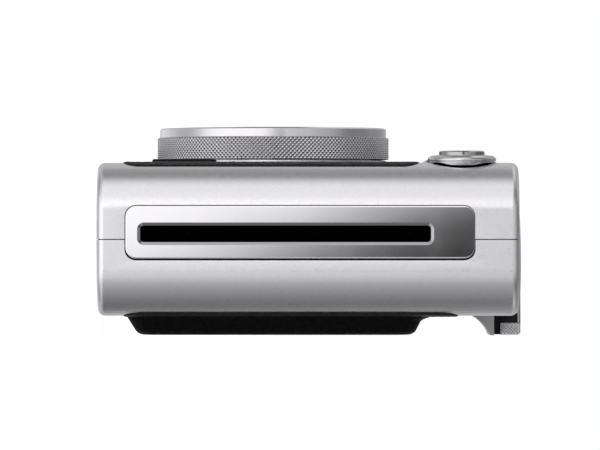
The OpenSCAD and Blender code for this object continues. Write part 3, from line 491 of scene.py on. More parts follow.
class Graph(Tree):
    """A material's node tree, with its Principled shader."""

    def __init__(self, name):
        self.material = bpy.data.materials.new(name)
        self.material.use_nodes = True
        super().__init__(self.material.node_tree)
        self.shader = self.tree.nodes["Principled BSDF"]
        self.coords = self.add("ShaderNodeTexCoord").outputs["Object"]

    def set(self, **values):
        for key, value in values.items():
            self.put(self.shader.inputs[key.replace("_", " ").title().replace("Ior", "IOR")], value)

    def stretched(self, scale):
        return self.add("ShaderNodeMapping", {"Vector": self.coords, "Scale": scale}).outputs["Vector"]

    def noise(self, size, detail=2.0, vector=None):
        """Noise whose grain is about size millimetres."""
        values = {"Vector": vector or self.coords, "Scale": 1 / (size * MM), "Detail": detail}
        return self.add("ShaderNodeTexNoise", values).outputs["Fac"]

    def bump(self, height, depth, under=None):
        """Relief of about depth millimetres."""
        values = {"Height": height, "Distance": depth * MM, "Strength": 1.0}
        if under is not None:
            values["Normal"] = under
        return self.add("ShaderNodeBump", values).outputs["Normal"]


TINT = 0.035
STEEL_TINT = 0.01


def grey(value, tint=0.0):
    """A grey, with a faint violet tint."""
    return (value * (1 + 0.45 * tint), value, value * (1 + tint))


def grained(name, dark, light, metallic, roughness, size, relief, spread=0.05, stretch=None, **settings):
    """A finish whose colour, gloss and relief follow one fine grain."""
    g = Graph(name)
    vector = g.stretched(stretch) if stretch else None
    grain = g.noise(size, 3.0, vector)
    broad = g.noise(9.0)
    g.set(
        base_color=g.ramp(grain, ((0.25, dark), (0.75, light))),
        roughness=g.span(broad, roughness - spread, roughness + spread),
        normal=g.bump(grain, relief),
        metallic=metallic, **settings)
    return g.material


def metal(name, dark, light, roughness, size, relief, spread, tint=TINT, **settings):
    dark = grey(dark, tint)
    light = grey(light, tint)
    return grained(name, dark, light, 1.0, roughness, size, relief, spread, **settings)


def plastic(name, dark, light, roughness, size, relief, spread=0.05, **settings):
    return grained(name, grey(dark), grey(light), 0.0, roughness, size, relief, spread, **settings)


def silver_paint(name, level):
    """Silver paint: fine metal flakes under a satin skin."""
    g = Graph(name)
    flakes = g.add("ShaderNodeTexVoronoi", {"Vector": g.coords, "Scale": 1 / (0.22 * MM)})
    sparkle = g.add("ShaderNodeSeparateColor", {"Color": flakes.outputs["Color"]}).outputs["Red"]
    peel = g.noise(0.9)
    g.set(
        base_color=g.ramp(sparkle, ((0.0, grey(level * 0.97, TINT)), (1.0, grey(level * 1.03, TINT)))),
        roughness=g.span(peel, 0.27, 0.32),
        normal=g.bump(peel, 0.0004),
        metallic=1.0)
    return g.material


def pebbled(name, level, gloss):
    """Black pebbled skin; its colour is painted lighter on the crowns as a sheen and darker in the hollows
    between them as shade.
    """
    size = 1.0
    relief = 0.12
    g = Graph(name)
    warp = g.noise(2.4)
    cells = g.add(
        "ShaderNodeTexVoronoi", {"Vector": g.coords, "Scale": 1 / (size * MM), "Smoothness": 0.35},
        feature="SMOOTH_F1").outputs["Distance"]
    crown = g.span(cells, 1.0, 0.0, 0.1, 0.7)
    fine = g.noise(0.16)
    coarse = g.bump(crown, relief)
    g.set(
        # Painted sheen on the crowns and painted shade in the hollows
        base_color=g.ramp(crown, ((0.0, grey(level * 0.45)), (1.0, grey(level * 1.1)))),
        roughness=g.span(warp, 0.46, 0.6),
        normal=g.bump(fine, relief * 0.06, coarse),
        metallic=0.0, specular_ior_level=gloss)
    return g.material


def clear_glass(name, tint, ior, haze):
    g = Graph(name)
    film = g.noise(6.0)
    g.set(
        base_color=g.ramp(film, ((0.3, tint), (0.7, tuple(min(1.0, c * 1.12) for c in tint)))),
        roughness=g.span(film, haze, haze * 1.6),
        transmission_weight=1.0, ior=ior)
    return g.material


PAINT = silver_paint("silver_paint", 0.8)
# The thumb shelf's paint is the body's silver made darker: painted shade for the shade the body throws over
# the shelf
SHADED_SHELF_PAINT = silver_paint("shelf_paint_painted_shade", 0.32)
PORT_PAINT = silver_paint("port_paint", 0.74)
# The housing's leather is the skins' leather made darker and less glossy: painted shade on the housing
SHADED_LEATHER = pebbled("pebbled_leather_painted_shade", 0.003, 0.08)
SKIN_LEATHER = pebbled("skin_leather", 0.01, 0.25)
CHROME = metal("bright_chrome", 0.8, 0.82, 0.04, 0.4, 0.00001, 0.01)
# The exit lip is the frame's chrome made darker: painted shade in the mouth of the slot
SHADED_LIP_CHROME = metal("lip_chrome_painted_shade", 0.48, 0.5, 0.08, 0.4, 0.00001, 0.01)
ALLOY = metal("satin_alloy", 0.76, 0.8, 0.24, 0.18, 0.0004, 0.03)
BUTTON_CHROME = metal("button_chrome", 0.62, 0.66, 0.14, 0.3, 0.0001, 0.02)
CAP_CHROME = metal("cap_chrome", 0.43, 0.46, 0.09, 0.3, 0.0001, 0.02)
DARK_ALLOY = metal("dark_alloy", 0.3, 0.36, 0.3, 0.18, 0.0006, 0.04)
KNURL = metal("knurled_alloy", 0.72, 0.8, 0.46, 0.2, 0.0006, 0.04)
BLACK = plastic("moulded_black", 0.005, 0.01, 0.5, 0.12, 0.003, 0.06, specular_ior_level=0.2)
DEEP_BLACK = plastic("baffle_black", 0.003, 0.006, 0.65, 0.2, 0.004, specular_ior_level=0.1)
KEY_BLACK = plastic("key_black", 0.03, 0.045, 0.4, 0.1, 0.002)
MARK = plastic("printed_mark", 0.55, 0.66, 0.5, 0.1, 0.001)
FELT = plastic("black_felt", 0.0008, 0.002, 0.95, 0.09, 0.02, 0.03, specular_ior_level=0.0)
STEEL = metal("brushed_steel", 0.5, 0.64, 0.32, 0.12, 0.001, 0.05, STEEL_TINT, stretch=(1.0, 0.06, 1.0))
BRASS = grained("turned_brass", (0.6, 0.45, 0.19), (0.76, 0.6, 0.3), 1.0, 0.28, 0.12, 0.001, 0.04)
NYLON = grained("natural_nylon", (0.74, 0.71, 0.63), (0.84, 0.82, 0.75), 0.0, 0.45, 0.3, 0.002)
CARD = grained("film_sheet", (0.78, 0.77, 0.73), (0.86, 0.85, 0.82), 0.0, 0.25, 0.4, 0.001)
WRAP = grained("battery_wrap", (0.14, 0.23, 0.37), (0.2, 0.3, 0.46), 0.0, 0.3, 0.5, 0.001)
MIRROR = metal("mirror_coat", 0.86, 0.9, 0.05, 0.8, 0.0001, 0.01, STEEL_TINT)
CELL = grained("display_cell", (0.02, 0.022, 0.026), (0.03, 0.033, 0.04), 0.0, 0.2, 0.4, 0.0005)
LENS_GLASS = clear_glass("coated_glass", (0.78, 0.8, 0.9), 1.52, 0.01)
SMOKED = clear_glass("smoked_cover", (0.1, 0.1, 0.11), 1.49, 0.02)
FLASH_CLEAR = clear_glass("flash_plastic", (0.95, 0.95, 0.93), 1.49, 0.06)


def lacquered_board():
    """A circuit board: green lacquer over fine copper tracks."""
    g = Graph("circuit_board")
    tracks = g.add("ShaderNodeTexBrick", {
        "Vector": g.coords, "Scale": 1 / (3.0 * MM), "Mortar Size": 0.02,
        "Color1": (0.03, 0.16, 0.08, 1.0), "Color2": (0.045, 0.2, 0.1, 1.0),
        "Mortar": (0.1, 0.26, 0.12, 1.0)})
    g.set(
        base_color=tracks.outputs["Color"], roughness=g.span(g.noise(2.0), 0.3, 0.42),
        normal=g.bump(tracks.outputs["Fac"], 0.02))
    return g.material


BOARD = lacquered_board()


# The two shells
def shell_plan(grow, seam, back):
    """One half of the shells' plan from the seam, round the outer side, to the seam."""
    corner = 24
    r = END_R + grow
    plan = [(END_X + grow, seam)]
    for sign, start in ((1, 0.0), (-1, 90.0)):
        for k in range(corner + 1):
            t = math.radians(start + 90.0 * k / corner)
            plan.append(polar((sign * FLAT_X, END_R), r, -t))
    plan.append((-END_X - grow, seam))
    if back:
        plan = [(x, BODY_D - d) for x, d in plan]
    return plan


def half_shell(name, back):
    seam = SEAM - SEAM_HALF_GAP
    past = SEAM + 4.0
    levels = edge_levels(0.0, BODY_H, EDGE_R, EDGE_R, 6)
    outer = make(name, [slab(lambda g: shell_plan(g, seam, back), levels, on_top)])
    cavity = make("cavity", [prism(shell_plan(-WALL, past, back), WALL, BODY_H - WALL, on_top)])
    return shape(outer, [cavity])


def cutter(part):
    return make("cutter", [part], even=False)


def hole(outline, low, high, side):
    return cutter(prism(outline, low, high, side))


def box_cut(x, d, z):
    return hole([(x[0], d[0]), (x[1], d[0]), (x[1], d[1]), (x[0], d[1])], *z, on_top)


def seam_cutters():
    """Openings that cross the seam, each with a fine chamfer at its mouth."""
    fine = 0.1
    top = BODY_H + 3.0
    bezel = mouth(BEZEL_X[0], END_X, END_X + PAST, fine, fine)
    plate = mouth(PLATE_LOW, BODY_H, top, fine, fine)
    well = mouth(DIAL_FLOOR, BODY_H, top, fine, fine)
    port = [(g, -h) for g, h in reversed(mouth(-PORT_FLOOR_X, END_X, END_X + PAST, fine, fine))]
    cuts = [
        cutter(panel(BEZEL_POCKET_D, BEZEL_Z, BEZEL_R, bezel, on_end, BEZEL_POCKET_GROW)),
        hole(rounded(SLOT_D, SLOT_Z, 0.6, THROAT_W + INLAY), THROAT_IN_X, END_X, on_end),
        cutter(panel((-PLATE_X, PLATE_X), PLATE_D, PLATE_R, plate, on_top, fine)),
        cutter(slab(lambda g: circle(FILM_DIAL_AT, WELL_R, g), well, on_top)),
        box_cut((-CHANNEL_X, CHANNEL_X), (CHANNEL_D, BODY_D + PAST), (PLATE_LOW, BODY_H + PAST)),
        cutter(panel(PORT_D, PORT_Z, PORT_R, port, on_end, INLAY)),
        hole(rounded(PORT_D, PORT_Z, PORT_R, -2.0), *PORT_HOLE_X, on_end),
        box_cut(EYELET_X, (SEAM - 1.0, SEAM + 1.0), EYELET_Z),
    ]
    for at in SCREWS:
        cuts.append(hole(circle(at, SCREW_R, 0.05, 40), -1.0, SCREW_DEEP, on_top))
    return cuts


def pocket_reach(t):
    """Radius of the front button's pocket, which flattens along the bend of the body."""
    least = 7.3
    back = 4.0
    sweep = 11.4
    half_width = 6.75
    soft = 8
    side_cos = 0.3
    if math.cos(t) < side_cos:
        return least
    flat = math.sqrt(sweep ** 2 - (back * math.sin(t)) ** 2) - back * math.cos(t)
    side = half_width / max(abs(math.sin(t)), 0.01)
    return max(least, (flat ** -soft + side ** -soft) ** (-1 / soft))


front_shell = half_shell("front_shell", False)
boss = [(0.0, -0.6), (8.0, -0.6), (7.1, 0.0), (6.2, 0.62), (0.0, 0.62)]
shape(front_shell, [cutter(turned(boss, (BUTTON_X - 2.5, BUTTON_Z - 1.2), on_front, 96, False))], "UNION")
front_through = (-4.0, PAST)
past_boss = 3.0
shape(front_shell, seam_cutters() + [
    hole(circle(LENS_AT, BORE_R), *front_through, on_front),
    hole([polar(BUTTON_AT, pocket_reach(t), t) for t in turns(128)], POCKET_FLOOR, past_boss, on_front),
    hole(circle(BUTTON_AT, BUTTON_BORE_R), front_through[0], past_boss, on_front),
    hole(rounded(SWITCH_X, SWITCH_Z, SWITCH_R), *front_through, on_front),
    hole(rounded(FLASH_X, FLASH_Z, FLASH_R), *front_through, on_front),
    hole(circle(MIRROR_AT, MIRROR_R), -1.0, PAST, on_front),
    hole(circle(TRIPOD_AT, TRIPOD_R + TRIPOD_WALL), -1.0, 3.0, on_top),
])
dress(front_shell, ROOT, PAINT, "silver_shell", "front_cover")


def seam_lip():
    """The dark tongue that bridges the gap between the shells."""
    half = 0.7
    inset = 0.35
    deep = 1.2
    levels = ((-inset, SEAM - half), (-inset, SEAM + half), (-deep, SEAM + half), (-deep, SEAM - half))
    return slab(lambda g: rounded((-END_X, END_X), (0.0, BODY_H), EDGE_R, g), levels, on_back, True)


dress(shape(make("seam_lip", [seam_lip()]), seam_cutters()), ROOT, DEEP_BLACK, "black_plastic")


def thumb_shelf():
    """The ledge over the hollow that the thumb rests in."""
    centre_d, centre_z, r = HOLLOW
    section = [(BODY_D, centre_z), (BODY_D, SHELF_TOP), (SHELF_BACK, SHELF_TOP)]
    top = math.degrees(math.acos((centre_d - SHELF_BACK) / r))
    steps = 20
    for k in range(steps + 1):
        t = math.radians(top * (1 - k / steps))
        section.append((centre_d - r * math.cos(t), centre_z + r * math.sin(t)))
    return prism(section, *SHELF_X, on_end)


rear_shell = half_shell("rear_shell", True)
knuckle_parts = []
web_x = (HINGE_AT[0] - KNUCKLE_R, HINGE_AT[0] + 0.2)
for low, high in KNUCKLES:
    knuckle_parts.append(cutter(slab(
        lambda g: circle(HINGE_AT, KNUCKLE_R, g, 48), edge_levels(low, high, 0.15, 0.15, 2), on_top)))
    knuckle_parts.append(box_cut(web_x, (KNUCKLE_FRONT, HINGE_AT[1]), (low, high)))
shape(rear_shell, knuckle_parts, "UNION")
middle = (KNUCKLES[0][1], KNUCKLES[1][0])
shape(rear_shell, seam_cutters() + [
    hole(rounded(DOOR_X, DOOR_Z, DOOR_R, INLAY), DOOR_FLOOR, BODY_D + PAST, on_back),
    hole(circle(HINGE_AT, KNUCKLE_R + 0.3, 0.0, 48), *middle, on_top),
    box_cut((HINGE_AT[0], DOOR_X[0]), (HINGE_FLOOR, BODY_D + PAST), middle),
    box_cut(inner(SHELF_X, -0.1), (BASE_FRONT - 0.1, BODY_D + PAST), (SHELF_TOP, 90.0)),
    box_cut(LATCH_X, LATCH_D, (-1.0, 3.0)),
])
dress(rear_shell, ROOT, PAINT, "silver_shell", "rear_cover")
# The shelf wears the darker silver, which is painted shade
dress(make("thumb_shelf", [thumb_shelf()]), ROOT, SHADED_SHELF_PAINT, "silver_shell")

through = (80.0, 90.0)
chamfer = 0.15
deck_levels = edge_levels(PLATE_LOW, BODY_H, 0.0, chamfer, 3)
top_deck = make("top_deck", [panel((-PLATE_X, PLATE_X), PLATE_D, PLATE_R, deck_levels, on_top)])
well_levels = mouth(through[0], BODY_H, through[1], chamfer, chamfer)
shape(top_deck, [
    cutter(slab(lambda g: circle(FILM_DIAL_AT, WELL_R, g), well_levels, on_top)),
    box_cut((-CHANNEL_X, CHANNEL_X), (CHANNEL_D, BODY_D + PAST), through),
    hole(circle(TOP_BUTTON_AT, TOP_STEM_R + 0.1), *through, on_top),
    hole(circle(LEVER_AT, LEVER_POST_R), *through, on_top),
])
dress(top_deck, ROOT, PAINT, "silver_shell", "top_plate")


# The skins on the front and the door, fine grids with their pebbles modelled
def pebble(x, z):
    """Height from 0 to 1 of the pebbled relief."""
    size = 1.15
    steep = 1.9
    crown = 0.6
    far = relief_noise.voronoi(Vector((x / size, z / size, 0.0)))[0]
    return min(1.0, (far[1] - far[0]) * steep) ** crown


def wrap(x, z, height, back):
    """A point at a height over the front or the back, which both bend round the ends."""
    over = abs(x) - FLAT_X
    depth = -height
    if over > 0:
        t = math.asin(min(over / END_R, 1.0))
        r = END_R + height
        x = math.copysign(FLAT_X + r * math.sin(t), x)
        depth = END_R - r * math.cos(t)
    return (x, BODY_D - depth if back else depth, z)


def skin(name, x, z, corner, hidden, back=False):
    """A pebbled skin over x and z, left out where hidden(x, z) is true."""
    cell = 0.42
    thick = 0.28
    relief = 0.12
    sink = 0.2
    rim_w = 0.5
    rim_share = 0.25
    columns = round((x[1] - x[0]) / cell)
    rows = round((z[1] - z[0]) / cell)
    middle = ((x[0] + x[1]) / 2, (z[0] + z[1]) / 2)
    reach = ((x[1] - x[0]) / 2, (z[1] - z[0]) / 2)
    bm = bmesh.new()
    grid = []
    for j in range(rows + 1):
        line = []
        for i in range(columns + 1):
            px = x[0] + (x[1] - x[0]) * i / columns - middle[0]
            pz = z[0] + (z[1] - z[0]) * j / rows - middle[1]
            rim = min(reach[0] - abs(px), reach[1] - abs(pz))
            if abs(px) > reach[0] - corner and abs(pz) > reach[1] - corner:
                centre = Vector([math.copysign(r - corner, p) for r, p in zip(reach, (px, pz))])
                out = Vector((px, pz)) - centre
                rim = corner - out.length
                if rim < 0:
                    px, pz = centre + out.normalized() * corner
            ease = math.sqrt(min(1.0, max(rim, 0.0) / rim_w))
            px += middle[0]
            pz += middle[1]
            share = rim_share + (1 - rim_share) * ease
            height = (thick - relief * (1 - pebble(px, pz))) * share
            line.append(bm.verts.new(place(wrap(px, pz, height, back))))
        grid.append(line)
    for j in range(rows):
        for i in range(columns):
            px = x[0] + (x[1] - x[0]) * (i + 0.5) / columns
            pz = z[0] + (z[1] - z[0]) * (j + 0.5) / rows
            if not hidden(px, pz):
                bm.faces.new((grid[j][i], grid[j][i + 1], grid[j + 1][i + 1], grid[j + 1][i]))
    bmesh.ops.delete(bm, geom=[v for v in bm.verts if not v.link_faces], context="VERTS")
    rim_edges = [e for e in bm.edges if e.is_boundary]
    skirt = bmesh.ops.extrude_edge_only(bm, edges=rim_edges)["geom"]
    for vert in skirt:
        if isinstance(vert, bmesh.types.BMVert):
            vert.co.y += (-sink if back else sink) * MM
    return link(name, bm, 60.0)


def within(x, z, span_x, span_z, inset):
    """Whether a place lies in a rectangle and at least inset from its sides."""
    return span_x[0] + inset < x < span_x[1] - inset and span_z[0] + inset < z < span_z[1] - inset


def under_front(x, z):
    return within(x, z, SWITCH_X, SWITCH_Z, 0.6) or math.hypot(x, z - LENS_Z) < CAP_R - 1.2


front_skin = skin("front_skin", FRONT_SKIN_X, FRONT_SKIN_Z, FRONT_SKIN_R, under_front)
dress(front_skin, ROOT, SKIN_LEATHER, "leatherette", "front_leatherette")


# The film exit
def slot_outline(grow):
    return rounded(SLOT_D, SLOT_Z, SLOT_R, grow)


def frame_outline(inset):
    """The frame's outer outline; its rim is narrower along the end under the button."""
    return rounded(BEZEL_D, (BEZEL_Z[0], BEZEL_Z[1] + END_RIM_CUT * inset), BEZEL_R, -BEZEL_GAP - inset)


def exit_frame():
    """The bright frame: a rounded rim and a flat face round the lip."""
    rim = 0.3
    flat = 0.04
    face = BEZEL_X[1]
    loops = [(frame_outline, 0.0, BEZEL_X[0])]
    loops += [(frame_outline, rim * c, face - rim * s) for c, s in quarter(5)]
    loops += [
        (frame_outline, rim + flat, face), (slot_outline, LIP_W + flat, face), (slot_outline, LIP_W, face),
        (slot_outline, LIP_W, THROAT_X), (slot_outline, THROAT_W, THROAT_X),
        (slot_outline, THROAT_W, BEZEL_X[0])]
    return loft([[on_end(u, v, h) for u, v in outline(g)] for outline, g, h in loops], cyclic=True)


def exit_lip():
    """The shallow chamfer from the frame down to the slot."""
    drop = 0.44
    face = BEZEL_X[1]
    levels = ((LIP_W, THROAT_X), (LIP_W, face), (0.0, face - drop), (0.0, THROAT_X))
    return slab(slot_outline, levels, on_end, True)


def exit_throat():
    """The dark collar behind the slot."""
    wall = THROAT_W - 0.05
    levels = ((0.0, COLLAR_X), (0.0, THROAT_X), (wall, THROAT_X), (wall, COLLAR_X))
    return slab(slot_outline, levels, on_end, True)


dress(make("exit_frame", [exit_frame()], 25.0), ROOT, CHROME, "exit_chrome", "exit_bezel")
# The lip's darker chrome is painted shade
dress(make("exit_lip", [exit_lip()], 25.0), ROOT, SHADED_LIP_CHROME, "exit_chrome")
dress(make("exit_throat", [exit_throat()]), ROOT, DEEP_BLACK, "black_plastic")


def seal_lips():
    """Two felt lips that close the slot round the film."""
    z = (9.05, 68.75)
    depths = ((12.0, 14.34), (14.38, 16.9))
    levels = edge_levels(54.6, 56.0, 0.0, 0.04, 2)
    return [panel(d, z, 0.05, levels, on_end) for d in depths]


dress(make("seal_lips", seal_lips()), ROOT, FELT, "felt", "exit_light_seal")
gasket_x = (BEZEL_X[0], BEZEL_X[1] - 0.4)
gasket = [
    (BEZEL_D, -BEZEL_GAP, gasket_x[0]), (BEZEL_D, -BEZEL_GAP, gasket_x[1]),
    (BEZEL_POCKET_D, BEZEL_GAP, gasket_x[1]), (BEZEL_POCKET_D, BEZEL_GAP, gasket_x[0])]
gasket_loops = [[on_end(u, v, h) for u, v in rounded(d, BEZEL_Z, BEZEL_R, grow)] for d, grow, h in gasket]
dress(make("exit_gasket", [loft(gasket_loops, cyclic=True)]), ROOT, DEEP_BLACK, "black_plastic")

# The lens
sleeve_r = 21.4
sleeve_h = 5.6
base_ring = fillet([
    (BORE_R, 0.0), (CAP_R, 0.0), (CAP_R, BASE_RING_H, 0.25), (sleeve_r, BASE_RING_H), (sleeve_r, sleeve_h),
    (BORE_R, sleeve_h)])
lens_ring_base = make("lens_ring_base", [turned(base_ring, LENS_AT, on_front, 192)])
dress(lens_ring_base, ROOT, ALLOY, "satin_alloy", "lens_base_ring")


def lens_grip():
    """The knurled ring of the lens dial."""
    around = 176
    rows = 5
    tooth = 0.2
    edge = 0.1
    bore = 21.46 - DIAL_R
    path = even_path(circle(LENS_AT, DIAL_R, 0.0, 2 * around), 2 * around)
    heights = even_heights(DIAL_LOW + edge, DIAL_HIGH - edge, rows)
    below = [(bore, DIAL_LOW), (-tooth - edge, DIAL_LOW)]
    above = [(-tooth - edge, DIAL_HIGH), (bore, DIAL_HIGH)]
    return knurled(path, on_front, heights, tooth, below, above, capped=False)


dress(make("lens_grip", [lens_grip()], 8.0, False), "lens_dial", KNURL, "satin_alloy", "lens_dial")
cap_ring = fillet([
    (BORE_R, DIAL_HIGH), (CAP_R, DIAL_HIGH, 0.1), (CAP_R, CAP_HIGH - 0.3, 0.06),
    (CAP_R - 0.36, CAP_HIGH, 0.06), (21.2, CAP_HIGH, 0.2), (BORE_R + 0.2, CAP_HIGH - 0.7, 0.1)])
lens_ring_cap = make("lens_ring_cap", [turned(cap_ring, LENS_AT, on_front, 192)], 40.0)
dress(lens_ring_cap, "lens_dial", ALLOY, "satin_alloy", "lens_dial_cap")


def lens_tube():
    """The barrel, with fine steps down its cone that stop stray light."""
    barrel = 19.7
    flange = 22.2
    pupil = 6.0
    seat = 9.0
    steps = 9
    step_rise = 0.12
    top = (18.7, 7.45)
    foot = (9.8, 3.95)
    profile = [
        (pupil, -8.0), (barrel, -4.0), (barrel, -3.0), (flange, -3.0), (flange, -WALL), (barrel, -WALL),
        (barrel, top[1] - 0.15), (barrel - 0.15, top[1]), top]
    for k in range(steps):
        here = Vector(top).lerp(Vector(foot), (k + 0.35) / steps)
        after = Vector(top).lerp(Vector(foot), (k + 1.0) / steps)
        profile += [(here.x, here.y + step_rise), (after.x + step_rise, here.y + 0.08), (after.x, after.y)]
    profile += [(seat, foot[1]), (seat, LENS_SEAT), (pupil, LENS_SEAT)]
    return turned(profile, LENS_AT, on_front)


dress(make("lens_tube", [lens_tube()], 20.0), ROOT, DEEP_BLACK, "black_plastic", "lens_barrel")
glass_r = 8.95
crown_h = 0.45
window = [(0.0, LENS_SEAT), (glass_r, LENS_SEAT), (glass_r, 3.05)]
for k in range(9):
    radius = 8.8 * (1 - k / 8)
    window.append((radius, 3.1 + crown_h * (1 - (radius / glass_r) ** 2)))
lens_front_glass = make("lens_front_glass", [turned(window, LENS_AT, on_front, 96, False)], 40.0)
dress(lens_front_glass, ROOT, LENS_GLASS, "lens_glass", "lens_window")


# Front controls
COLLAR_IN = 6.3
SKIRT_SLOPE = 0.3


def swept(profile):
    """Turns profile(t, dip) round the front button; dip is how far the collar's skirt reaches down."""
    deepest = 0.5
    start = 0.4
    loops = []
    for t in turns(128):
        dip = deepest * max(0.0, math.cos(t) - start) / (1 - start)
        loops.append([on_front(*polar(BUTTON_AT, r, t), h) for r, h in profile(t, dip)])
    return loft(loops, cyclic=True)


def collar(t, dip):
    """The collar's section, which is the same all round but for its skirt."""
    skirt = 7.13 - SKIRT_SLOPE * dip
    return fillet([
        (4.81, -2.4), (COLLAR_IN, -2.4), (COLLAR_IN, -dip - 0.1), (skirt - 0.03, -dip - 0.02),
        (skirt, 0.06 - dip), (7.15, 0.12, 0.05), (6.88, 0.18, 0.03), (6.88, 0.26, 0.03), (7.12, 0.38, 0.25),
        (7.12, 0.95, 0.6), (6.5, 1.45, 0.3), (5.1, 1.65, 0.15), (4.81, 1.4, 0.1)])


def collar_shade_seat(t, dip):
    """A near-black seat under the collar, out to the pocket's wall: painted shade that stands in for the
    shadow in the undercut below the collar's lip.
    """
    reach = pocket_reach(t) - 0.04
    low = -1.62
    edge = -wrap(*polar(BUTTON_AT, reach, t), 0.0, False)[1] - 0.12
    skirt = 7.0 - SKIRT_SLOPE * dip
    return [(COLLAR_IN, low), (reach, low), (reach, edge), (skirt, -dip - 0.1), (COLLAR_IN, -dip - 0.14)]


front_button_rim = make("front_button_rim", [swept(collar)], 40.0)
dress(front_button_rim, ROOT, BUTTON_CHROME, "satin_alloy", "front_button_collar")
# A near-black ring where the undercut under the collar lies in shade: painted shade
dress(make("front_button_shade_seat", [swept(collar_shade_seat)]), ROOT, FELT, "black_plastic")


def button_profile(r, foot, top, dish, stem_r, stem_foot):
    """A button on a stem, with a chamfered crown and a shallow dish in its face."""
    profile = [
        (0.0, stem_foot), (stem_r, stem_foot), (stem_r, foot), (r, foot), (r, top - 0.26),
        (r - 0.06, top - 0.2), (r - 0.24, top - 0.04), (r - 0.34, top)]
    for k in range(1, 9):
        s = 1 - k / 8
        profile.append(((r - 0.5) * s, top - dish * (1 - s * s)))
    return profile


front_cap = button_profile(r=4.75, foot=-2.6, top=2.5, dish=0.0, stem_r=5.45, stem_foot=-3.2)
front_button_cap = make("front_button_cap", [turned(front_cap, BUTTON_AT, on_front, 128, False)], 40.0)
dress(front_button_cap, "front_shutter_button", CAP_CHROME, "satin_alloy", "front_shutter_button")

bed_levels = edge_levels(-WALL, 0.9, 0.0, 0.35)
switch_bed = make("switch_bed", [panel(SWITCH_X, SWITCH_Z, SWITCH_R, bed_levels, on_front)])
slider_levels = mouth(-1.5, 0.95, PAST, 0.15, 0.2)
shape(switch_bed, [cutter(panel(SLIDER_X, SLIDER_Z, 0.8, slider_levels, on_front, 0.06))])
dress(switch_bed, ROOT, BLACK, "black_plastic", "power_switch_frame")
dress(eased("switch_knob", "power_slider", 0.12), "power_slider", BLACK, "black_plastic", "power_slider")


def flash_lens():
    """The flash window, with fine upright ribs on its face."""
    ribs = 38
    inset = 0.1
    margin = 1.2
    rib_gap = 0.01
    foot = 0.08
    crest = 0.22
    x = inner(FLASH_X, inset)
    z = inner(FLASH_Z, inset)
    parts = [panel(x, z, FLASH_R - inset, edge_levels(-WALL, 0.1, 0.0, 0.15), on_front)]
    pitch = (x[1] - x[0] - 2 * margin) / ribs
    for k in range(ribs):
        left = x[0] + margin + k * pitch
        rib = [(left + rib_gap, foot), (left + pitch - rib_gap, foot), (left + pitch / 2, crest)]
        parts.append(prism(rib, *inner(z, 0.6), lambda u, v, h: (u, -v, h)))
    return parts


dress(make("flash_lens", flash_lens()), ROOT, FLASH_CLEAR, "flash_lens", "flash_window")

mirror_rim = [(4.2, -0.2), (4.58, -0.2), (4.58, 0.06), (4.45, 0.14), (4.3, 0.14), (4.2, 0.02)]
dress(make("mirror_rim", [turned(mirror_rim, MIRROR_AT, on_front, 96)]), ROOT, BLACK, "black_plastic")

# Top controls
rim_h = BODY_H + 1.65
top_collar = fillet([
    (4.86, BODY_H), (7.0, BODY_H), (7.0, rim_h, 0.8), (5.2, rim_h, 0.15), (4.86, BODY_H + 1.3)])
top_button_rim = make("top_button_rim", [turned(top_collar, TOP_BUTTON_AT, on_top, 128)], 40.0)
dress(top_button_rim, ROOT, ALLOY, "satin_alloy", "top_button_collar")
top_cap = button_profile(
    r=4.8, foot=BODY_H + 1.2, top=BODY_H + 3.1, dish=0.35, stem_r=TOP_STEM_R, stem_foot=BODY_H - 4.2)
top_button_cap = make("top_button_cap", [turned(top_cap, TOP_BUTTON_AT, on_top, 128, False)], 40.0)
dress(top_button_cap, "top_shutter_button", ALLOY, "satin_alloy", "top_shutter_button")


def lever_plan(hub, reach, half_tip):
    """The lever from above: a round hub and an arm that runs to the finger tip."""
    steps = 40
    start = 170
    sweep = 170
    tip_r = 1.0
    plan = [polar(LEVER_AT, hub, math.radians(start + sweep * k / steps)) for k in range(steps + 1)]
    tip = [(LEVER_TIP_X + half_tip, reach, tip_r), (LEVER_TIP_X - half_tip, reach, tip_r)]
    return plan + fillet(tip + [plan[0], plan[-1]])[:-2]


def lever_tip():
    """The finger tip: a small block with a diamond knurl round it and a rounded crown."""
    x = (LEVER_TIP_X - LEVER_TIP_HALF, LEVER_TIP_X + LEVER_TIP_HALF)
    low = 86.87
    high = LEVER_Z[1] - 0.05
    crown = 0.55
    around = 34
    rows = 5.5
    tooth = 0.16
    path = even_path(rounded(x, LEVER_TIP_D, 0.7, 0.0, 12), 2 * around)
    heights = even_heights(low + 0.12, high - crown - 0.05, rows)
    below = [(-0.35, low), (-0.2, low + 0.06)]
    above = [(-tooth - crown * c, high - crown * s) for c, s in quarter(5)]
    return knurled(path, on_top, heights, tooth, below, above)


lever_arm = make("lever_arm", [slab(
    lambda g: lever_plan(LEVER_HUB_R + g, LEVER_TIP_D[1] - 1.8 + g, LEVER_TIP_HALF - 0.6 + g),
    edge_levels(*LEVER_Z, 0.1, 0.4), on_top)])
shape(lever_arm, [hole(circle(LEVER_AT, LEVER_BORE_R), 89.0, 93.0, on_top)])
dress(lever_arm, "print_lever", DARK_ALLOY, "satin_alloy", "print_lever")
dress(make("lever_finger", [lever_tip()], 12.0, False), "print_lever", KNURL, "satin_alloy")
dress(eased("lever_core", "lever_hub", 0.15), "print_lever", BLACK, "black_plastic", "lever_hub")
bed_d = (BASE_FRONT, SHELF_BACK - 0.2)
lever_bed = make("lever_bed", [panel(
    SHELF_X, bed_d, 0.2, edge_levels(SHELF_TOP, 86.75, 0.0, 0.15), on_top)])
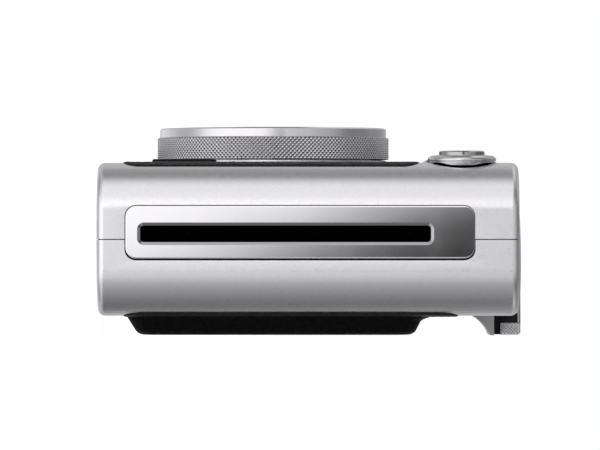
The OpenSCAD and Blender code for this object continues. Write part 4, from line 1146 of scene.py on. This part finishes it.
# The raised part of the bed ends on the arc that the finger tip swings along
inset = 0.2
tip_front = LEVER_TIP_D[0] - 0.1
sweep = tip_front - LEVER_AT[1]
rest_front = BASE_FRONT + inset
rest_x = inner(SHELF_X, inset)
rest_plan = [(rest_x[0], rest_front), (rest_x[1], rest_front), (rest_x[1], tip_front)]
for k in range(9):
    t = math.asin((LEVER_AT[0] - SHELF_X[0] - inset) / sweep) * k / 8
    rest_plan.append((LEVER_AT[0] - sweep * math.sin(t), LEVER_AT[1] + sweep * math.cos(t)))
shape(lever_bed, [hole(rest_plan, 86.0, 87.2, on_top)], "UNION")
dress(lever_bed, ROOT, DEEP_BLACK, "black_plastic", "lever_base")
dress(eased("lever_pivot", "lever_screw", 0.12), ROOT, STEEL, "steel", "lever_screw")


def film_wheel():
    """The film dial, with a knurled edge, turned rings on its face and a blind bore for its post."""
    around = 120
    rows = 8
    tooth = 0.22
    low = 83.2
    high = FILM_DIAL_TOP
    bore = 2.06 - FILM_DIAL_R
    bore_depth = 3.2
    path = even_path(circle(FILM_DIAL_AT, FILM_DIAL_R, 0.0, 2 * around), 2 * around)
    heights = even_heights(low + 0.3, high - 0.35, rows)
    below = [(bore, low + bore_depth), (bore, low), (-0.5, low), (-tooth - 0.05, low + 0.2)]
    above = [
        (-tooth - 0.05, high - 0.25), (-0.5, high), (-1.6, high), (-1.7, high - 0.12), (-1.85, high - 0.12),
        (-1.95, high), (-7.6, high), (-7.75, high - 0.15), (-8.1, high - 0.3),
        (0.02 - FILM_DIAL_R, high - 0.32)]
    return knurled(path, on_top, heights, tooth, below, above)


dress(make("film_wheel", [film_wheel()], 12.0, False), "film_dial", KNURL, "satin_alloy", "film_dial")
line = [(6.6, 0.14), (8.6, 0.14), (8.6, -0.14), (6.6, -0.14)]
wheel_marks = marks_round(FILM_DIAL_AT, 10, line, FILM_DIAL_TOP - 0.1, FILM_DIAL_TOP + 0.03, on_top)
dress(make("film_wheel_marks", wheel_marks), "film_dial", BLACK, "black_plastic")
dress(eased("hot_shoe", "accessory_shoe", 0.2), ROOT, STEEL, "steel", "accessory_shoe")


# The rear door
def house_top(depth):
    """Upper end of the housing at a depth: a hollow curve out of the skin, then a steep slope."""
    hollow_end = 33.0
    hollow_d = 0.95
    hollow_rise = 1.5
    curl = 2.2
    slope = 0.5
    middle_d = 32.8
    middle_z = 67.0
    hollow = max(0.0, (hollow_end - depth) / hollow_d)
    return middle_z - slope * (depth - middle_d) + hollow_rise * hollow ** curl


def housing():
    """The raised housing on the door, with sloping sides and a rounded rim."""
    rim_d = 0.95
    rim_z = 1.25
    slope = 0.6
    corner = 3.0
    foot = 31.9
    top_foot = 32.05
    loops = []
    depths = [BODY_D, foot, 32.1, 32.3, 32.5, 32.75, 33.0, 33.5, 34.1, HOUSE_BACK - rim_d]
    insets = [0.0] * len(depths)
    for c, s in quarter(8)[1:]:
        depths.append(HOUSE_BACK - rim_d * s)
        insets.append(rim_z * c)
    for depth, inset in zip(depths, insets):
        run = slope * max(0.0, depth - foot) + inset
        x = inner(HOUSE_X, run)
        z = (HOUSE_Z[0] + run, house_top(max(depth, top_foot)) - inset)
        loops.append([on_back(u, v, depth) for u, v in rounded(x, z, corner, 0.0, 12)])
    return loft(loops)


PAD_AT = (KEYS_X, PAD_Z)
KEY_AT = {
    "play_key": (KEYS_X, KEY_TOP_Z), "back_key": (KEYS_X - KEY_STEP, KEY_LOW_Z),
    "delete_key": (KEYS_X + KEY_STEP, KEY_LOW_Z)}
house_past = 40.0
screen_levels = mouth(SCREEN_FLOOR, HOUSE_BACK, house_past, 0.25, 0.2)
key_levels = mouth(KEY_FLOOR, HOUSE_BACK, house_past, 0.2, 0.15)
house_cuts = [cutter(panel(SCREEN_X, SCREEN_Z, 1.5, screen_levels, on_back))]
for at, r in [(PAD_AT, PAD_R)] + [(at, KEY_R) for at in KEY_AT.values()]:
    house_cuts.append(cutter(slab(lambda g: circle(at, r, 0.1 + g, 64), key_levels, on_back)))
rear_housing = shape(make("rear_housing", [housing()]), house_cuts, "DIFFERENCE", 35.0)
# The housing is covered in the darker leather, which is painted shade
dress(rear_housing, "film_door", SHADED_LEATHER, "leatherette", "door_housing")


def under_housing(x, z):
    return within(x, z, HOUSE_X, HOUSE_Z, 1.5)


rear_skin = skin("rear_skin", DOOR_X, DOOR_SKIN_Z, DOOR_R, under_housing, True)
dress(rear_skin, "film_door", SKIN_LEATHER, "leatherette")
cover_levels = edge_levels(HOUSE_BACK - 1.0, HOUSE_BACK, 0.0, 0.2)
screen_cover = make("screen_cover", [panel(SCREEN_X, SCREEN_Z, 1.4, cover_levels, on_back, -0.1)])
dress(screen_cover, "film_door", SMOKED, "screen_cover", "screen_glass")

pad_back = HOUSE_BACK + KEY_RISE
pad_bore = KEY_R + 0.08
pad_flange = PAD_R + KEY_FLANGE_W
pad = fillet([
    (pad_bore, KEY_FOOT), (pad_flange, KEY_FOOT), (pad_flange, KEY_FLANGE), (PAD_R, KEY_FLANGE),
    (PAD_R, pad_back, 0.3), (5.4, pad_back - 0.18, 1.0), (pad_bore, pad_back, 0.15)])
cursor_pad = make("cursor_pad", [turned(pad, PAD_AT, on_back, 128)])
dress(cursor_pad, "four_way_pad", KEY_BLACK, "key_plastic", "four_way_pad")
arrow = [(7.05, 0.0), (6.25, 0.55), (6.25, -0.55)]
pad_marks = marks_round(PAD_AT, 4, arrow, pad_back - 0.3, pad_back - 0.04, on_back)
dress(make("cursor_pad_marks", pad_marks), "four_way_pad", MARK, "key_plastic")

ok_foot = 33.25
ok_flange = ok_foot + 0.4
ok_flange_r = KEY_R + 0.8
ok_back = pad_back + 0.1
ok = fillet([
    (0.0, ok_foot), (ok_flange_r, ok_foot), (ok_flange_r, ok_flange), (KEY_R, ok_flange),
    (KEY_R, ok_back, 0.35), (1.6, ok_back - 0.15, 0.8), (0.0, ok_back - 0.2)])
confirm_key = make("confirm_key", [turned(ok, PAD_AT, on_back, 96, False)])
dress(confirm_key, "ok_key", KEY_BLACK, "key_plastic", "ok_key")

KEY_SIGNS = {
    "play_key": [[(-0.8, -1.0), (1.1, 0.0), (-0.8, 1.0)]],
    "back_key": [
        [(-1.2, 0.0), (0.0, 0.9), (0.0, -0.9)],
        [(0.0, -0.28), (1.2, -0.28), (1.2, 0.28), (0.0, 0.28)]],
    "delete_key": [
        [(-0.75, -1.1), (0.75, -1.1), (0.95, 0.5), (-0.95, 0.5)],
        [(-1.1, 0.7), (1.1, 0.7), (1.1, 0.95), (-1.1, 0.95)],
        [(-0.35, 0.98), (0.35, 0.98), (0.35, 1.2), (-0.35, 1.2)]],
}
SIGN_SCALE = 1.1
key_flange = KEY_R + KEY_FLANGE_W
key_profile = fillet([
    (0.0, KEY_FOOT), (key_flange, KEY_FOOT), (key_flange, KEY_FLANGE), (KEY_R, KEY_FLANGE),
    (KEY_R, pad_back, 0.3), (0.0, pad_back)])
for key, at in KEY_AT.items():
    cap = make(key + "_cap", [turned(key_profile, at, on_back, 96, False)])
    dress(cap, key, KEY_BLACK, "key_plastic", key)
    signs = []
    for sign in KEY_SIGNS[key]:
        outline = [(at[0] - u * SIGN_SCALE, at[1] + v * SIGN_SCALE) for u, v in sign]
        signs.append(prism(outline, pad_back - 0.1, pad_back + 0.03, on_back))
    dress(make(key + "_sign", signs), key, MARK, "key_plastic")


# Mounts
def tripod_thread():
    """The tripod bush, with a helical thread in its bore."""
    pitch = 1.27
    deep = 0.34
    rows = 52
    steps = 64
    outer = TRIPOD_R + TRIPOD_WALL
    flange = outer + 0.6
    top = 6.5
    lead = 0.3
    middle = 0.01
    loops = []
    for i, t in enumerate(turns(steps)):
        ring = [
            (outer, top), (outer, 3.0), (flange, 3.0), (flange, WALL), (outer, WALL), (outer, 0.2),
            (outer - 0.2, 0.0), (TRIPOD_R + 0.5, 0.0)]
        for j in range(rows + 1):
            h = lead + (TRIPOD_L - lead) * j / rows
            turn = (h / pitch + i / steps) % 1.0
            ring.append((TRIPOD_R + deep * abs(2 * turn - 1), h))
        ring += [(middle, TRIPOD_L + 0.05), (middle, top)]
        loops.append([on_top(*polar(TRIPOD_AT, r, t), h) for r, h in ring])
    return loft(loops, cyclic=True)


dress(make("tripod_bush", [tripod_thread()], 35.0), ROOT, BRASS, "brass", "tripod_socket")
dress(eased("strap_loop", "strap_eyelet", 0.35, 3), ROOT, STEEL, "steel", "strap_eyelet")
dress(eased("port_lid", "port_cover", 0.15), "port_cover", PORT_PAINT, "port_plastic", "port_cover")
dress(eased("base_screws", "cover_screws", 0.08), ROOT, STEEL, "steel", "cover_screws")
dress(eased("latch_slide", "door_latch", 0.15), "door_latch", BLACK, "black_plastic", "door_latch")

# Nodes that keep their CAD shape
KEPT = (
    (STEEL, "port_block front_roller rear_roller motor pick_claw hinge_pin"),
    (NYLON, "front_roller_gear rear_roller_gear idler_gear reduction_gear"),
    (BOARD, "sensor_board main_board door_board"),
    (BLACK, "chassis print_head film_door"),
    (MIRROR, "flash_reflector selfie_mirror"),
    (LENS_GLASS, "lens_elements"),
    (KEY_BLACK, "film_pack"),
    (CARD, "film_sheets"),
    (BRASS, "motor_pinion"),
    (WRAP, "battery"),
    (CELL, "screen_panel"))
for look, names in KEPT:
    for name in names.split():
        mesh = nodes[name].data
        mesh.materials.clear()
        mesh.materials.append(look)


# Floor, light and camera
def white_floor():
    g = Graph("pale_floor")
    grain = g.noise(400.0)
    seen = g.add("ShaderNodeLightPath").outputs["Is Camera Ray"]
    g.set(
        base_color=g.ramp(grain, ((0.3, grey(0.88)), (0.7, grey(0.92)))),
        roughness=0.9, emission_color=(1.0, 1.0, 1.0, 1.0),
        emission_strength=g.span(seen, 0.0, 0.8, 0.0, 1.0))
    half = 6.0
    low = -0.00005
    corners = ((-half, -half, low), (half, -half, low), (half, half, low), (-half, half, low))
    bm = bmesh.new()
    bm.faces.new([bm.verts.new(p) for p in corners])
    floor = link("floor", bm, 30.0)
    floor.data.materials.append(g.material)
    floor.visible_glossy = False
    floor.visible_diffuse = False
    floor.visible_transmission = False


# Brightness round the upright axis, as (turn, level): the exit end at 0.5, the lens side at 0.75,
# the back at 0.25
RING_LIGHT = (
    (0.0, 0.6), (0.09, 0.6), (0.135, 0.32), (0.18, 0.16), (0.24, 0.15), (0.32, 0.27), (0.4, 0.46),
    (0.45, 0.76), (0.49, 1.08), (0.51, 1.15), (0.54, 1.55), (0.58, 1.12), (0.68, 1.02), (0.71, 0.7),
    (0.735, 0.28), (0.77, 0.26), (0.81, 0.34), (0.85, 0.56), (0.92, 0.62), (1.0, 0.6))
# Brightness round the axis of the lens, as a share of the ring's: the exit end at 0.5, the top at 0.75,
# the base at 0.25
PITCH_LIGHT = (
    (0.0, 0.95), (0.08, 0.9), (0.12, 0.8), (0.21, 0.5), (0.245, 0.5), (0.28, 0.8), (0.305, 1.12),
    (0.335, 1.24), (0.375, 1.32), (0.43, 1.3), (0.455, 1.12), (0.48, 1.05), (0.5, 0.97), (0.52, 0.8),
    (0.545, 0.68), (0.61, 0.62), (0.66, 0.5), (0.69, 0.4), (0.72, 0.24), (0.75, 0.16), (0.79, 0.16),
    (0.83, 0.22), (0.88, 0.26), (0.93, 0.42), (0.965, 0.8), (1.0, 0.95))
# Brightness across the card, over 0.2 of slant
CARD_LIGHT = (
    (0.3, 1.2), (0.4, 1.08), (0.47, 0.86), (0.515, 0.6), (0.57, 0.38), (0.62, 0.15), (0.67, 0.09),
    (0.74, 0.04))
CARD_SLANT = 2.65
CARD_SPREAD = 5.0
CARD_HALF_Y = 0.09
CARD_TOP = 0.17
SKY_LIGHT = 0.22
CORNER_SHADE = 0.65
LOW_SHADE = 0.35


def studio():
    """White to the camera; to light and reflections, a bright front with dark flags beside it."""
    world = bpy.data.worlds.new("studio")
    world.use_nodes = True
    scene.world = world
    g = Tree(world.node_tree)
    back = g.tree.nodes["Background"]
    back.inputs["Color"].default_value = (1.0, 1.0, 1.0, 1.0)

    def times(a, b):
        return g.calc("MULTIPLY", a, b)

    def rest(a):
        return g.calc("SUBTRACT", 1.0, a)

    def fade(value, start, end, low=0.0, high=1.0):
        return g.span(value, low, high, start, end, interpolation_type="SMOOTHSTEP")

    def blend(low, high, factor):
        return g.calc("ADD", times(low, rest(factor)), times(high, factor))

    def levels(value, stops):
        return g.ramp(value, [(at, grey(level)) for at, level in stops])

    def round_axis(a, b):
        return g.calc("ADD", g.calc("DIVIDE", g.calc("ARCTAN2", a, b), 2 * math.pi), 0.5)

    way = g.add("ShaderNodeSeparateXYZ", {0: g.add("ShaderNodeTexCoord").outputs["Generated"]})
    x, y, z = way.outputs
    beside = g.calc("ABSOLUTE", y)
    up = g.calc("ABSOLUTE", z)
    corner = times(fade(beside, 0.1, 0.5, 0.0, CORNER_SHADE), fade(z, 0.2, 0.6))
    ring = blend(levels(round_axis(times(y, -1.0), x), RING_LIGHT), rest(corner), fade(up, 0.2, 0.5))
    pitch = blend(levels(round_axis(z, x), PITCH_LIGHT), 1.0, fade(beside, 0.6, 0.95))
    level = blend(times(ring, pitch), SKY_LIGHT, fade(z, 0.96, 0.995))
    low = times(fade(beside, 0.2, 0.5, 0.0, LOW_SHADE), fade(z, -0.45, -0.2, 1.0, 0.0))
    level = times(level, rest(low))
    # A small dark card faces the exit end, with a soft slanting edge
    slant = g.calc("ADD", times(y, CARD_SLANT), z)
    card = levels(g.calc("ADD", times(slant, CARD_SPREAD), 0.5), CARD_LIGHT)
    near = times(fade(beside, CARD_HALF_Y, CARD_HALF_Y + 0.04, 1.0, 0.0), fade(x, 0.3, 0.6))
    tall = times(fade(z, CARD_TOP, CARD_TOP + 0.05, 1.0, 0.0), fade(z, -0.1, -0.05))
    level = blend(level, card, times(near, tall))
    seen = g.add("ShaderNodeLightPath").outputs["Is Camera Ray"]
    level = g.calc("ADD", times(level, rest(seen)), seen)
    g.tree.links.new(level, back.inputs["Strength"])


def lamp(name, at, power):
    """A round soft light that faces the middle of the camera."""
    aim = (0.0, 0.0, 0.04)
    data = bpy.data.lights.new(name, "AREA")
    data.shape = "DISK"
    data.size = 2.2
    data.energy = power
    obj = bpy.data.objects.new(name, data)
    scene.collection.objects.link(obj)
    obj.location = at
    obj.rotation_euler = (Vector(aim) - Vector(at)).to_track_quat("-Z", "Y").to_euler()


white_floor()
studio()
lamp("key_light", (-0.6, -1.0, 1.2), 4.0)
lamp("rear_light", (-0.5, 1.1, 1.0), 2.0)

# The camera looks at the exit end, with the lens side up and the top to the right
camera_data = bpy.data.cameras.new("camera")
camera_data.sensor_width = 36.0
camera_data.lens = 303.9
camera_data.clip_start = 0.01
camera = bpy.data.objects.new("camera", camera_data)
scene.collection.objects.link(camera)
camera.matrix_world = Matrix((
    (0.0, 0.0, 1.0, 1.10145),
    (0.0, -1.0, 0.0, 0.0049),
    (1.0, 0.0, 0.0, 0.04186),
    (0.0, 0.0, 0.0, 1.0)))
scene.camera = camera
scene.view_settings.view_transform = "Standard"
